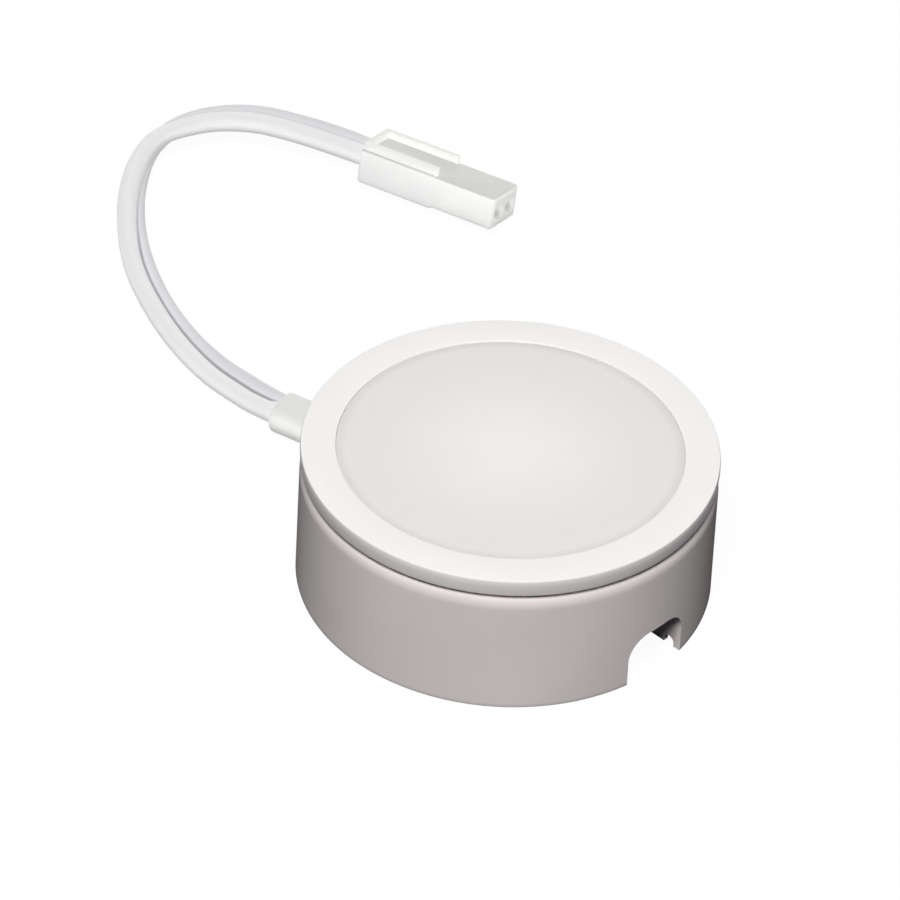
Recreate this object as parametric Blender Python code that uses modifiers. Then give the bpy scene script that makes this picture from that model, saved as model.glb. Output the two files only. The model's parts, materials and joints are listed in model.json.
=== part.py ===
# LED puck light: a light module in a surface collar, with its lead and connector
# Metres, +Z up along the puck's axis, origin at the middle of the collar's foot

import math

import bmesh
import bpy
from mathutils import Matrix, Vector

# Clearances
FIT_GAP = 0.0003
SOLDER_GAP = 0.0001

# Surface collar
COLLAR_RADIUS = 0.0350
COLLAR_WALL = 0.0013
SHOULDER_ROUND = 0.0016
FOOT_ROUND = 0.0003
LIP_WIDTH = 0.0010
LIP_THICK = 0.0015

# Cable notches and the channels behind them
EXIT_AZIMUTH = math.radians(138.5)
NOTCH_WIDTH = 0.0127
NOTCH_HEIGHT = 0.0094
NOTCH_ROUND = 0.0043
CHANNEL_WALL = 0.0010
CHANNEL_TAIL = 0.0009
WINDOW_WIDTH = 0.0021
WINDOW_HEIGHT = 0.0017
CLAMP_INSET = 0.0048
CLAMP_THICK = 0.0010

# Ribs that centre the module and carry it from below
RIB_COUNT = 6
RIB_THICK = 0.0012
RIB_SHELF = 0.0016
RIB_FOOT = 0.0040

# Lugs for the fixing screws
LUG_WIDTH = 0.0100
LUG_THICK = 0.0022
LUG_HOLE_INSET = 0.0075
LUG_HOLE_RADIUS = 0.0019
LUG_SINK_RADIUS = 0.0036
LUG_SINK_DEPTH = 0.0012

# Trim ring
TRIM_INSET = 0.00025
TRIM_THICK = 0.0027
TRIM_FACE = 0.00585
TRIM_ROUND = 0.0009
TRIM_LOWER_ROUND = 0.0003
SKIRT_THICK = 0.0010
SKIRT_DEPTH = 0.0033
BEAD_DEPTH = 0.00045
BEAD_HEIGHT = 0.0012
BEAD_RISE = 0.0003

# Diffuser
DIFFUSER_RECESS = 0.0003
DIFFUSER_THICK = 0.0016
DIFFUSER_RIM = 0.0008
DIFFUSER_SEAT = 0.0006
DIFFUSER_FLANGE = 0.0009

# Module housing, which sits above the cable channels
MODULE_LIFT = 0.0006
HOUSING_WALL = 0.0013
HOUSING_CHAMFER = 0.0003
FLOOR_THICK = 0.0012
SCREW_INSET = 0.0030
BOSS_RADIUS = 0.0026
PEG_RADIUS = 0.0010
PEG_INSET = 0.0030
PEG_PROUD = 0.0005

# Light board, its chips and the reflector
LED_BOARD_THICK = 0.0016
LED_LENGTH = 0.0035
LED_WIDTH = 0.0028
LED_HEIGHT = 0.0007
LED_INNER_COUNT = 4
LED_INNER_CIRCLE = 0.0100
LED_OUTER_COUNT = 8
LED_OUTER_MARGIN = 0.0021
REFLECTOR_HEIGHT = 0.0029
REFLECTOR_SPREAD = 0.0081
REFLECTOR_WALL = 0.0009

# Driver board and back cover
DRIVER_RADIUS = 0.0190
DRIVER_THICK = 0.0010
DRIVER_CLEARANCE = 0.0008
COVER_THICK = 0.0012
VENT_COUNT = 8
VENT_LENGTH = 0.0060
VENT_WIDTH = 0.0012
VENT_CIRCLE = 0.0170

# Driver components under the board: each size is out, across and up
# Each place is out and across, as a share of the board's radius
RECTIFIER_SIZE = (0.0050, 0.0065, 0.0024)
RECTIFIER_PLACE = (0.66, 0.39)
DRIVER_IC_SIZE = (0.0050, 0.0040, 0.0015)
DRIVER_IC_PLACE = (-0.63, -0.32)
CAPACITOR_SIZE = (0.0050, 0.0090, 0.0026)
CAPACITOR_PLACE = (-0.16, 0.47)
COMPONENT_ROUND = 0.0003
VARISTOR_RADIUS = 0.0030
VARISTOR_THICK = 0.0024
VARISTOR_PLACE = (0.66, -0.42)
CHOKE_RADIUS = 0.0032
CHOKE_WAIST = 0.0026
CHOKE_HEIGHT = 0.0026
CHOKE_RIM = 0.0007
CHOKE_PLACE = (-0.63, 0.24)
FUSE_RADIUS = 0.0011
FUSE_LENGTH = 0.0065
FUSE_PLACE = (0.11, -0.55)

# Screws
SCREW_COUNT = 3
SCREW_RADIUS = 0.0009
SCREW_HEAD_RADIUS = 0.0015
SCREW_HEAD_THICK = 0.0007
BOARD_SCREW_REACH = 0.0035
COVER_SCREW_REACH = 0.0035
SINK_HEAD_RADIUS = 0.0020
SINK_HEAD_DEPTH = 0.0009

# Spring clips
CLIP_COUNT = 3
CLIP_WIDTH = 0.0060
CLIP_THICK = 0.0004
CLIP_FOOT = 0.0016
CLIP_KNEE = 0.0036
CLIP_LAND = 0.0014
CLIP_SCREW_HEIGHT = 0.0038
CLIP_BOSS_RADIUS = 0.0018
CLIP_BOSS_LENGTH = 0.0020

# Inner wires
LED_WIRE_RADIUS = 0.0005
LED_WIRE_SPACING = 0.0026
LED_WIRE_CIRCLE = 0.0060
LEAD_CORE_RADIUS = 0.0008
LEAD_BEND = 0.0060
LEAD_ENTRY = 0.0070
LEAD_ENTRY_MARGIN = 0.0008

# Strain relief: its route runs out from the collar's face and across
RELIEF_WIDTH = 0.0083
RELIEF_HEIGHT = 0.0060
RELIEF_ROUND = 0.0007
RELIEF_ROUTE = ((-0.0010, -0.0003), (0.0040, -0.0013), (0.0090, -0.0016), (0.0140, -0.00065), (0.0189, 0.00045))
RELIEF_SAMPLES = 8
NECK_WIDTH = 0.0055
NECK_HEIGHT = 0.0042
FLANGE_THICK = 0.0015

# Lead
CORD_WIDTH = 0.0066
CORD_STRAIGHT = 0.0070
CORD_ENTRY = 0.0043
CORD_SAMPLES = 27

# Connector
CONNECTOR_PLACE = (-0.0301, 0.1127)
CONNECTOR_YAW = math.radians(-28.4)
CONNECTOR_ROLL = math.radians(-10.9)
CONNECTOR_LENGTH = 0.0295
CONNECTOR_WIDTH = 0.0094
CONNECTOR_HEIGHT = 0.0070
CONNECTOR_REAR = 0.0165
CONNECTOR_STEP = 0.0003
CONNECTOR_ROUND = 0.0004
GUARD_LENGTH = 0.0168
GUARD_HEIGHT = 0.0015
GUARD_WALL = 0.0010
GUARD_INSET = 0.0004
SOCKET_RADIUS = 0.0014
SOCKET_SPACING = 0.0042
SOCKET_DEPTH = 0.0110
SOCKET_CHAMFER = 0.0003
CONTACT_WALL = 0.0003
CONTACT_LENGTH = 0.0080
CONTACT_RECESS = 0.0015

# Facets of a full circle, and steps of the smaller curves
SEGMENTS = 60
SMALL_SEGMENTS = 16
HOLE_SEGMENTS = 12
SINK_SEGMENTS = 24
ARC_STEPS = 3
NOTCH_STEPS = 5
OVAL_STEPS = 6
VENT_STEPS = 3
LUG_STEPS = 8
CURVE_STEPS = 12

# Radii that follow from the fits, from the outside in
COLLAR_INNER = COLLAR_RADIUS - COLLAR_WALL
WALL_MIDDLE = COLLAR_RADIUS - COLLAR_WALL / 2
LIP_INNER = COLLAR_INNER - LIP_WIDTH
LUG_HOLE_CIRCLE = COLLAR_RADIUS - LUG_HOLE_INSET
TRIM_RADIUS = COLLAR_RADIUS - TRIM_INSET
TRIM_OPENING = TRIM_RADIUS - TRIM_FACE
DIFFUSER_RADIUS = TRIM_OPENING - FIT_GAP
SKIRT_OUTER = LIP_INNER - FIT_GAP
SKIRT_INNER = SKIRT_OUTER - SKIRT_THICK
HOUSING_RADIUS = SKIRT_INNER - FIT_GAP
HOUSING_INNER = HOUSING_RADIUS - HOUSING_WALL
FLANGE_RADIUS = HOUSING_INNER + DIFFUSER_SEAT
INSERT_RADIUS = HOUSING_INNER - FIT_GAP
REFLECTOR_MOUTH = INSERT_RADIUS - REFLECTOR_WALL
REFLECTOR_THROAT = REFLECTOR_MOUTH - REFLECTOR_SPREAD
LED_OUTER_CIRCLE = REFLECTOR_THROAT - LED_OUTER_MARGIN - LED_WIDTH / 2
SCREW_CIRCLE = HOUSING_INNER - SCREW_INSET
SCREW_HOLE_RADIUS = SCREW_RADIUS + FIT_GAP
WIRE_HOLE_RADIUS = LED_WIRE_RADIUS + FIT_GAP
CLIP_BOSS_START = HOUSING_INNER - CLIP_BOSS_LENGTH
PEG_CIRCLE = DRIVER_RADIUS - PEG_INSET
CORE_SHIFT = CORD_WIDTH / 4
LEAD_ENTRY_RADIUS = CORE_SHIFT + LEAD_CORE_RADIUS + LEAD_ENTRY_MARGIN
CLAMP_OUTER = COLLAR_RADIUS - CLAMP_INSET
CLAMP_INNER = CLAMP_OUTER - CLAMP_THICK
RELIEF_START = CLAMP_INNER - FIT_GAP - FLANGE_THICK
RELIEF_BODY = CLAMP_OUTER + FIT_GAP
CHANNEL_END = RELIEF_START - CHANNEL_TAIL

# Heights that follow from the fits, from the foot up
DRIVER_SPACE = CAPACITOR_SIZE[2] + SOLDER_GAP + DRIVER_CLEARANCE
HOUSING_BOTTOM = NOTCH_HEIGHT + CHANNEL_WALL + MODULE_LIFT
COVER_TOP = HOUSING_BOTTOM + COVER_THICK
DRIVER_BOTTOM = COVER_TOP + DRIVER_SPACE
DRIVER_TOP = DRIVER_BOTTOM + DRIVER_THICK
FLOOR_BOTTOM = DRIVER_TOP + FIT_GAP
FLOOR_TOP = FLOOR_BOTTOM + FLOOR_THICK
LED_BOARD_BOTTOM = FLOOR_TOP + FIT_GAP
LED_BOARD_TOP = LED_BOARD_BOTTOM + LED_BOARD_THICK
REFLECTOR_BOTTOM = LED_BOARD_TOP + FIT_GAP
HOUSING_TOP = REFLECTOR_BOTTOM + REFLECTOR_HEIGHT
FLANGE_BOTTOM = HOUSING_TOP + FIT_GAP
FLANGE_TOP = FLANGE_BOTTOM + DIFFUSER_FLANGE
COLLAR_HEIGHT = HOUSING_TOP
LIP_BOTTOM = COLLAR_HEIGHT - LIP_THICK
TRIM_BOTTOM = COLLAR_HEIGHT + FIT_GAP
TRIM_TOP = TRIM_BOTTOM + TRIM_THICK
SKIRT_BOTTOM = TRIM_BOTTOM - SKIRT_DEPTH
BEAD_BOTTOM = SKIRT_BOTTOM + BEAD_RISE
BEAD_TOP = BEAD_BOTTOM + BEAD_HEIGHT
CLIP_SCREW_LEVEL = HOUSING_BOTTOM + CLIP_SCREW_HEIGHT
RELIEF_LEVEL = RELIEF_HEIGHT / 2
CORD_HEIGHT = CORD_WIDTH / 2

# The lead's route along the surface, from the relief to the connector
CORD_ROUTE = (
    (-0.0463, 0.0410, CORD_HEIGHT),
    (-0.0531, 0.0472, CORD_HEIGHT),
    (-0.0594, 0.0550, CORD_HEIGHT),
    (-0.0651, 0.0647, CORD_HEIGHT),
    (-0.0696, 0.0756, CORD_HEIGHT),
    (-0.0725, 0.0868, CORD_HEIGHT),
    (-0.0737, 0.0976, CORD_HEIGHT),
    (-0.0733, 0.1070, 0.0036),
    (-0.0711, 0.1143, 0.0043),
    (-0.0666, 0.1192, 0.0049),
    (-0.0601, 0.1218, 0.0056),
    (-0.0522, 0.1220, 0.0058),
    (-0.0438, 0.1200, 0.0054),
)


def clear_scene():
    for item in list(bpy.data.objects):
        bpy.data.objects.remove(item, do_unlink=True)


def new_collection(name):
    group = bpy.data.collections.new(name)
    bpy.context.scene.collection.children.link(group)
    return group


clear_scene()
PARTS = new_collection("led_puck_light")
CUTTERS = new_collection("cutters")


def material(name, colour, roughness, metallic=0.0):
    made = bpy.data.materials.new(name)
    made.use_nodes = True
    shader = made.node_tree.nodes["Principled BSDF"]
    shader.inputs["Base Color"].default_value = (*colour, 1.0)
    shader.inputs["Roughness"].default_value = roughness
    shader.inputs["Metallic"].default_value = metallic
    return made


WHITE_SHELL = material("white_shell", (0.80, 0.79, 0.78), 0.42)
WHITE_TRIM = material("white_trim", (0.86, 0.85, 0.84), 0.38)
FROSTED_LENS = material("frosted_lens", (0.82, 0.81, 0.80), 0.55)
CAST_HOUSING = material("cast_housing", (0.72, 0.72, 0.71), 0.45, 0.6)
WHITE_REFLECTOR = material("white_reflector", (0.88, 0.88, 0.87), 0.35)
WHITE_BOARD = material("white_board", (0.84, 0.84, 0.82), 0.50)
GREEN_BOARD = material("green_board", (0.05, 0.22, 0.11), 0.45)
LED_PHOSPHOR = material("led_phosphor", (0.90, 0.74, 0.22), 0.40)
BLACK_PACKAGE = material("black_package", (0.03, 0.03, 0.03), 0.50)
CERAMIC_BLUE = material("ceramic_blue", (0.06, 0.20, 0.45), 0.40)
FILM_BOX = material("film_box", (0.60, 0.10, 0.07), 0.45)
FERRITE = material("ferrite", (0.09, 0.09, 0.10), 0.60)
GLASS_FUSE = material("glass_fuse", (0.75, 0.72, 0.60), 0.25)
BLACK_COVER = material("black_cover", (0.05, 0.05, 0.05), 0.50)
STEEL_SCREW = material("steel_screw", (0.60, 0.60, 0.60), 0.35, 1.0)
SPRING_STEEL = material("spring_steel", (0.55, 0.55, 0.56), 0.30, 1.0)
WIRE_RED = material("wire_red", (0.55, 0.04, 0.03), 0.45)
WIRE_BLACK = material("wire_black", (0.03, 0.03, 0.03), 0.45)
WHITE_PVC = material("white_pvc", (0.80, 0.80, 0.83), 0.35)
WHITE_RELIEF = material("white_relief", (0.78, 0.79, 0.77), 0.50)
NATURAL_NYLON = material("natural_nylon", (0.80, 0.80, 0.77), 0.40)
TINNED_BRASS = material("tinned_brass", (0.72, 0.66, 0.50), 0.30, 1.0)


def place_object(name, mesh, surface, parent=None):
    item = bpy.data.objects.new(name, mesh)
    if surface is None:
        CUTTERS.objects.link(item)
        item.hide_render = True
        item.display_type = "WIRE"
    else:
        PARTS.objects.link(item)
        mesh.materials.clear()
        mesh.materials.append(surface)
    item.parent = parent
    return item


def smooth(item, degrees=35):
    item.data.shade_smooth()
    item.data.set_sharp_from_angle(angle=math.radians(degrees))
    return item


# A turned piece is shaded once its turn and its cuts are applied
def shade_turned(item):
    graph = bpy.context.evaluated_depsgraph_get()
    mesh = bpy.data.meshes.new_from_object(item.evaluated_get(graph))
    mesh.name = item.name
    item.modifiers.clear()
    item.data = mesh
    return smooth(item)


# Frames: out along a radius at an azimuth, with the piece's own X, Y and Z
def radial_frame(azimuth):
    return Matrix.Rotation(azimuth, 4, "Z")


def facing_out(azimuth):
    # the piece's X runs round the puck, its Y up and its Z out
    return radial_frame(azimuth) @ Matrix(((0, 0, 1, 0), (1, 0, 0, 0), (0, 1, 0, 0), (0, 0, 0, 1)))


def standing(azimuth):
    # the piece's X runs out, its Y up and its Z across
    return radial_frame(azimuth) @ Matrix.Rotation(math.pi / 2, 4, "X")


def lying_along_x():
    # the piece's Z runs along X
    return Matrix.Rotation(math.pi / 2, 4, "Y")


def polar(radius, azimuth, height=0.0):
    return Vector((radius * math.cos(azimuth), radius * math.sin(azimuth), height))


def arc(centre, radius, start, end, steps):
    points = []
    for step in range(steps + 1):
        angle = math.radians(start + (end - start) * step / steps)
        points.append((centre[0] + radius * math.cos(angle), centre[1] + radius * math.sin(angle)))
    return points


# Turned pieces: a profile of (radius, height) that runs down its outer side
def turned(name, profile, surface, closed=True, segments=SEGMENTS, frame=None, parent=None):
    mesh = bpy.data.meshes.new(name)
    corners = [(radius, 0.0, height) for radius, height in profile]
    edges = [(index, index + 1) for index in range(len(corners) - 1)]
    if closed:
        edges.append((len(corners) - 1, 0))
    mesh.from_pydata(corners, edges, [])
    item = place_object(name, mesh, surface, parent)
    screw = item.modifiers.new("turn", "SCREW")
    screw.steps = segments
    screw.render_steps = segments
    screw.use_merge_vertices = True
    screw.merge_threshold = 0.000001
    screw.use_smooth_shade = False
    if frame is not None:
        item.matrix_local = frame
    return item


def made_mesh(curve_object, name):
    graph = bpy.context.evaluated_depsgraph_get()
    mesh = bpy.data.meshes.new_from_object(curve_object.evaluated_get(graph))
    mesh.name = name
    work = bmesh.new()
    work.from_mesh(mesh)
    bmesh.ops.remove_doubles(work, verts=work.verts, dist=0.000001)
    bmesh.ops.recalc_face_normals(work, faces=work.faces)
    work.to_mesh(mesh)
    work.free()
    bpy.data.objects.remove(curve_object, do_unlink=True)
    return mesh


# Flat outlines, filled and given a thickness along the piece's own Z
def extruded(name, outlines, thickness, surface, frame=None, round_edge=0.0, parent=None):
    curve = bpy.data.curves.new(name, "CURVE")
    curve.dimensions = "2D"
    curve.fill_mode = "BOTH"
    curve.extrude = thickness / 2 - round_edge
    curve.bevel_depth = round_edge
    curve.bevel_resolution = 1
    curve.offset = -round_edge
    for outline in outlines:
        spline = curve.splines.new("POLY")
        spline.points.add(len(outline) - 1)
        for point, corner in zip(spline.points, outline):
            point.co = (corner[0], corner[1], 0.0, 1.0)
        spline.use_cyclic_u = True
    drawn = bpy.data.objects.new(name + "_outline", curve)
    CUTTERS.objects.link(drawn)
    mesh = made_mesh(drawn, name)
    item = place_object(name, mesh, surface, parent)
    if frame is not None:
        item.matrix_local = frame
    return item


# Round wires and the lead, with filled ends
def tube(name, points, radius, surface, resolution=2):
    curve = bpy.data.curves.new(name, "CURVE")
    curve.dimensions = "3D"
    curve.bevel_depth = radius
    curve.bevel_resolution = resolution
    curve.use_fill_caps = True
    spline = curve.splines.new("POLY")
    spline.points.add(len(points) - 1)
    for point, place in zip(spline.points, points):
        point.co = (*place, 1.0)
    drawn = bpy.data.objects.new(name + "_path", curve)
    CUTTERS.objects.link(drawn)
    mesh = made_mesh(drawn, name)
    return smooth(place_object(name, mesh, surface))


def cylinder(name, radius, low, high, surface=None, frame=None, segments=SMALL_SEGMENTS, parent=None,
             top_radius=None):
    mesh = bpy.data.meshes.new(name)
    work = bmesh.new()
    bmesh.ops.create_cone(
        work, cap_ends=True, segments=segments, radius1=radius,
        radius2=radius if top_radius is None else top_radius, depth=high - low,
        matrix=Matrix.Translation((0, 0, (high + low) / 2)))
    work.to_mesh(mesh)
    work.free()
    item = place_object(name, mesh, surface, parent)
    if frame is not None:
        item.matrix_local = frame
    return item


def block(name, size, centre, surface=None, frame=None, parent=None):
    mesh = bpy.data.meshes.new(name)
    work = bmesh.new()
    bmesh.ops.create_cube(work, size=1.0)
    bmesh.ops.scale(work, vec=size, verts=work.verts)
    bmesh.ops.translate(work, vec=centre, verts=work.verts)
    work.to_mesh(mesh)
    work.free()
    item = place_object(name, mesh, surface, parent)
    if frame is not None:
        item.matrix_local = frame
    return item


def combine(body, tool, operation):
    change = body.modifiers.new(tool.name, "BOOLEAN")
    change.operation = operation
    change.object = tool
    change.solver = "EXACT"


def join(body, tool):
    combine(body, tool, "UNION")


def cut(body, tool):
    combine(body, tool, "DIFFERENCE")


def round_edges(item, width, segments=2, degrees=40):
    bevel = item.modifiers.new("edges", "BEVEL")
    bevel.width = width
    bevel.segments = segments
    bevel.limit_method = "ANGLE"
    bevel.angle_limit = math.radians(degrees)
    return item


# An arched opening that is open at its foot: X across, Y up
def arch_outline(width, height, corner, drop=0.001):
    half = width / 2
    corner = min(corner, half)
    right = arc((half - corner, height - corner), corner, 0, 90, NOTCH_STEPS)
    left = arc((corner - half, height - corner), corner, 90, 180, NOTCH_STEPS)
    if corner == half:
        left = left[1:]
    return [(half, -drop)] + right + left + [(-half, -drop)]


# A flat oval with round ends: X across, Y up
def oval_outline(width, height, level=0.0, steps=OVAL_STEPS):
    radius = height / 2
    reach = width / 2 - radius
    right = arc((reach, level), radius, -90, 90, steps)
    left = arc((-reach, level), radius, 90, 270, steps)
    return right + left


def make_collar():
    profile = [(LIP_INNER, COLLAR_HEIGHT)]
    shoulder = (COLLAR_RADIUS - SHOULDER_ROUND, COLLAR_HEIGHT - SHOULDER_ROUND)
    profile += arc(shoulder, SHOULDER_ROUND, 90, 0, ARC_STEPS + 1)
    profile += [(COLLAR_RADIUS, FOOT_ROUND), (COLLAR_RADIUS - FOOT_ROUND, 0.0)]
    profile += [(COLLAR_INNER, 0.0), (COLLAR_INNER, LIP_BOTTOM), (LIP_INNER, LIP_BOTTOM)]
    collar = turned("surface_collar", profile, WHITE_SHELL)
    add_channels(collar)
    add_module_ribs(collar)
    add_lugs(collar)
    cut_notches(collar)
    cut_lug_holes(collar)
    return shade_turned(collar)


def notch_azimuths():
    return EXIT_AZIMUTH, EXIT_AZIMUTH + math.pi


# Arched tunnels behind both notches, the exit one with a wall that grips the relief
def add_channels(collar):
    length = WALL_MIDDLE - CHANNEL_END
    tunnel = arch_outline(NOTCH_WIDTH + 2 * CHANNEL_WALL, NOTCH_HEIGHT + CHANNEL_WALL,
                          NOTCH_ROUND + CHANNEL_WALL, drop=0.0)
    for side, azimuth in enumerate(notch_azimuths()):
        frame = facing_out(azimuth) @ Matrix.Translation((0, 0, CHANNEL_END + length / 2))
        join(collar, extruded(f"tunnel_{side}", [tunnel], length, None, frame))


def add_module_ribs(collar):
    inner = HOUSING_RADIUS + FIT_GAP
    shelf = inner - RIB_SHELF
    shelf_top = HOUSING_BOTTOM - FIT_GAP
    rib_top = SKIRT_BOTTOM - FIT_GAP
    slope = WALL_MIDDLE - shelf
    outline = [(WALL_MIDDLE, RIB_FOOT), (WALL_MIDDLE, rib_top), (inner, rib_top), (inner, shelf_top),
               (shelf, shelf_top), (shelf, min(RIB_FOOT + slope, shelf_top - RIB_THICK))]
    # the ribs stand clear of both notches and of the clips, which lie between them
    for index in range(RIB_COUNT):
        azimuth = EXIT_AZIMUTH + 2 * math.pi * (index + 0.5) / RIB_COUNT
        join(collar, extruded(f"module_rib_{index}", [outline], RIB_THICK, None, standing(azimuth)))


def lug_azimuths():
    return EXIT_AZIMUTH + math.pi / 2, EXIT_AZIMUTH - math.pi / 2


def add_lugs(collar):
    half = LUG_WIDTH / 2
    outline = [(WALL_MIDDLE, -half), (WALL_MIDDLE, half)]
    outline += arc((LUG_HOLE_CIRCLE, 0.0), half, 90, 270, LUG_STEPS)
    for side, azimuth in enumerate(lug_azimuths()):
        frame = radial_frame(azimuth) @ Matrix.Translation((0, 0, LUG_THICK / 2))
        join(collar, extruded(f"lug_{side}", [outline], LUG_THICK, None, frame))


def cut_notches(collar):
    arch = arch_outline(NOTCH_WIDTH, NOTCH_HEIGHT, NOTCH_ROUND)
    margin = CHANNEL_WALL
    outer_span = COLLAR_RADIUS + margin - CLAMP_OUTER
    inner_span = CLAMP_INNER - CHANNEL_END + margin
    whole_span = COLLAR_RADIUS + margin - CHANNEL_END + margin
    exit_outer = facing_out(EXIT_AZIMUTH) @ Matrix.Translation((0, 0, CLAMP_OUTER + outer_span / 2))
    exit_inner = facing_out(EXIT_AZIMUTH) @ Matrix.Translation((0, 0, CLAMP_INNER - inner_span / 2))
    spare = facing_out(EXIT_AZIMUTH + math.pi)
    spare = spare @ Matrix.Translation((0, 0, CHANNEL_END - margin + whole_span / 2))
    cut(collar, extruded("exit_notch", [arch], outer_span, None, exit_outer))
    cut(collar, extruded("exit_channel", [arch], inner_span, None, exit_inner))
    cut(collar, extruded("spare_notch", [arch], whole_span, None, spare))
    slot = arch_outline(NECK_WIDTH + 2 * FIT_GAP, RELIEF_LEVEL + NECK_HEIGHT / 2 + FIT_GAP,
                        NECK_HEIGHT / 2 + FIT_GAP)
    slot_frame = facing_out(EXIT_AZIMUTH) @ Matrix.Translation((0, 0, (CLAMP_OUTER + CLAMP_INNER) / 2))
    cut(collar, extruded("clamp_slot", [slot], CLAMP_THICK + 2 * margin, None, slot_frame))
    cut_side_windows(collar)


# Small arches through the channel walls, close behind the collar's wall
def cut_side_windows(collar):
    side_middle = NOTCH_WIDTH / 2 + CHANNEL_WALL / 2
    window_middle = math.sqrt(COLLAR_INNER ** 2 - side_middle ** 2) - WINDOW_WIDTH / 2
    window = arch_outline(WINDOW_WIDTH, WINDOW_HEIGHT, WINDOW_WIDTH / 2)
    window = [(window_middle + across, up) for across, up in window]
    span = NOTCH_WIDTH + 4 * CHANNEL_WALL
    for side, azimuth in enumerate(notch_azimuths()):
        cut(collar, extruded(f"side_windows_{side}", [window], span, None, standing(azimuth)))


def cut_lug_holes(collar):
    sink_low = LUG_THICK - LUG_SINK_DEPTH
    sink_high = LUG_THICK + LUG_SINK_DEPTH
    sink_top = 2 * LUG_SINK_RADIUS - LUG_HOLE_RADIUS
    for side, azimuth in enumerate(lug_azimuths()):
        frame = Matrix.Translation(polar(LUG_HOLE_CIRCLE, azimuth))
        cut(collar, cylinder(f"lug_hole_{side}", LUG_HOLE_RADIUS, -LUG_THICK, 2 * LUG_THICK, frame=frame))
        cut(collar, cylinder(f"lug_sink_{side}", LUG_HOLE_RADIUS, sink_low, sink_high, frame=frame,
                             segments=SINK_SEGMENTS, top_radius=sink_top))


def make_trim_ring():
    inner_edge = TRIM_LOWER_ROUND
    rebate = FLANGE_RADIUS + FIT_GAP
    rebate_top = FLANGE_TOP + FIT_GAP
    bead = SKIRT_INNER - BEAD_DEPTH
    profile = [(TRIM_OPENING + inner_edge, TRIM_TOP)]
    profile += arc((TRIM_RADIUS - TRIM_ROUND, TRIM_TOP - TRIM_ROUND), TRIM_ROUND, 90, 0, ARC_STEPS)
    profile += arc((TRIM_RADIUS - TRIM_LOWER_ROUND, TRIM_BOTTOM + TRIM_LOWER_ROUND),
                   TRIM_LOWER_ROUND, 0, -90, 2)
    profile += [(SKIRT_OUTER, TRIM_BOTTOM), (SKIRT_OUTER, SKIRT_BOTTOM + BEAD_RISE)]
    profile += [(SKIRT_OUTER - BEAD_RISE, SKIRT_BOTTOM), (SKIRT_INNER, SKIRT_BOTTOM)]
    profile += [(SKIRT_INNER, BEAD_BOTTOM), (bead, BEAD_BOTTOM + BEAD_RISE)]
    profile += [(bead, BEAD_TOP - BEAD_RISE), (SKIRT_INNER, BEAD_TOP)]
    profile += [(SKIRT_INNER, TRIM_BOTTOM), (rebate, TRIM_BOTTOM), (rebate, rebate_top)]
    profile += [(TRIM_OPENING, rebate_top), (TRIM_OPENING, TRIM_TOP - inner_edge)]
    shade_turned(turned("trim_ring", profile, WHITE_TRIM))


def make_diffuser():
    top = TRIM_TOP - DIFFUSER_RECESS
    bottom = top - DIFFUSER_THICK
    inner = DIFFUSER_RADIUS - DIFFUSER_RIM
    edge = TRIM_LOWER_ROUND
    profile = [(0.0, top), (DIFFUSER_RADIUS - edge, top), (DIFFUSER_RADIUS, top - edge)]
    profile += [(DIFFUSER_RADIUS, FLANGE_TOP), (FLANGE_RADIUS, FLANGE_TOP), (FLANGE_RADIUS, FLANGE_BOTTOM)]
    profile += [(inner, FLANGE_BOTTOM), (inner, bottom), (0.0, bottom)]
    shade_turned(turned("diffuser", profile, FROSTED_LENS, closed=False))


def screw_azimuths():
    return [EXIT_AZIMUTH + 2 * math.pi * index / SCREW_COUNT for index in range(SCREW_COUNT)]


def clip_azimuths():
    first = EXIT_AZIMUTH + math.pi / SCREW_COUNT
    return [first + 2 * math.pi * index / CLIP_COUNT for index in range(CLIP_COUNT)]


def wire_places():
    for side, shift in enumerate((-LED_WIRE_SPACING / 2, LED_WIRE_SPACING / 2)):
        yield side, radial_frame(EXIT_AZIMUTH + math.pi) @ Vector((LED_WIRE_CIRCLE, shift, 0.0))


def peg_places():
    for side, azimuth in enumerate(lug_azimuths()):
        yield side, polar(PEG_CIRCLE, azimuth)


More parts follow.
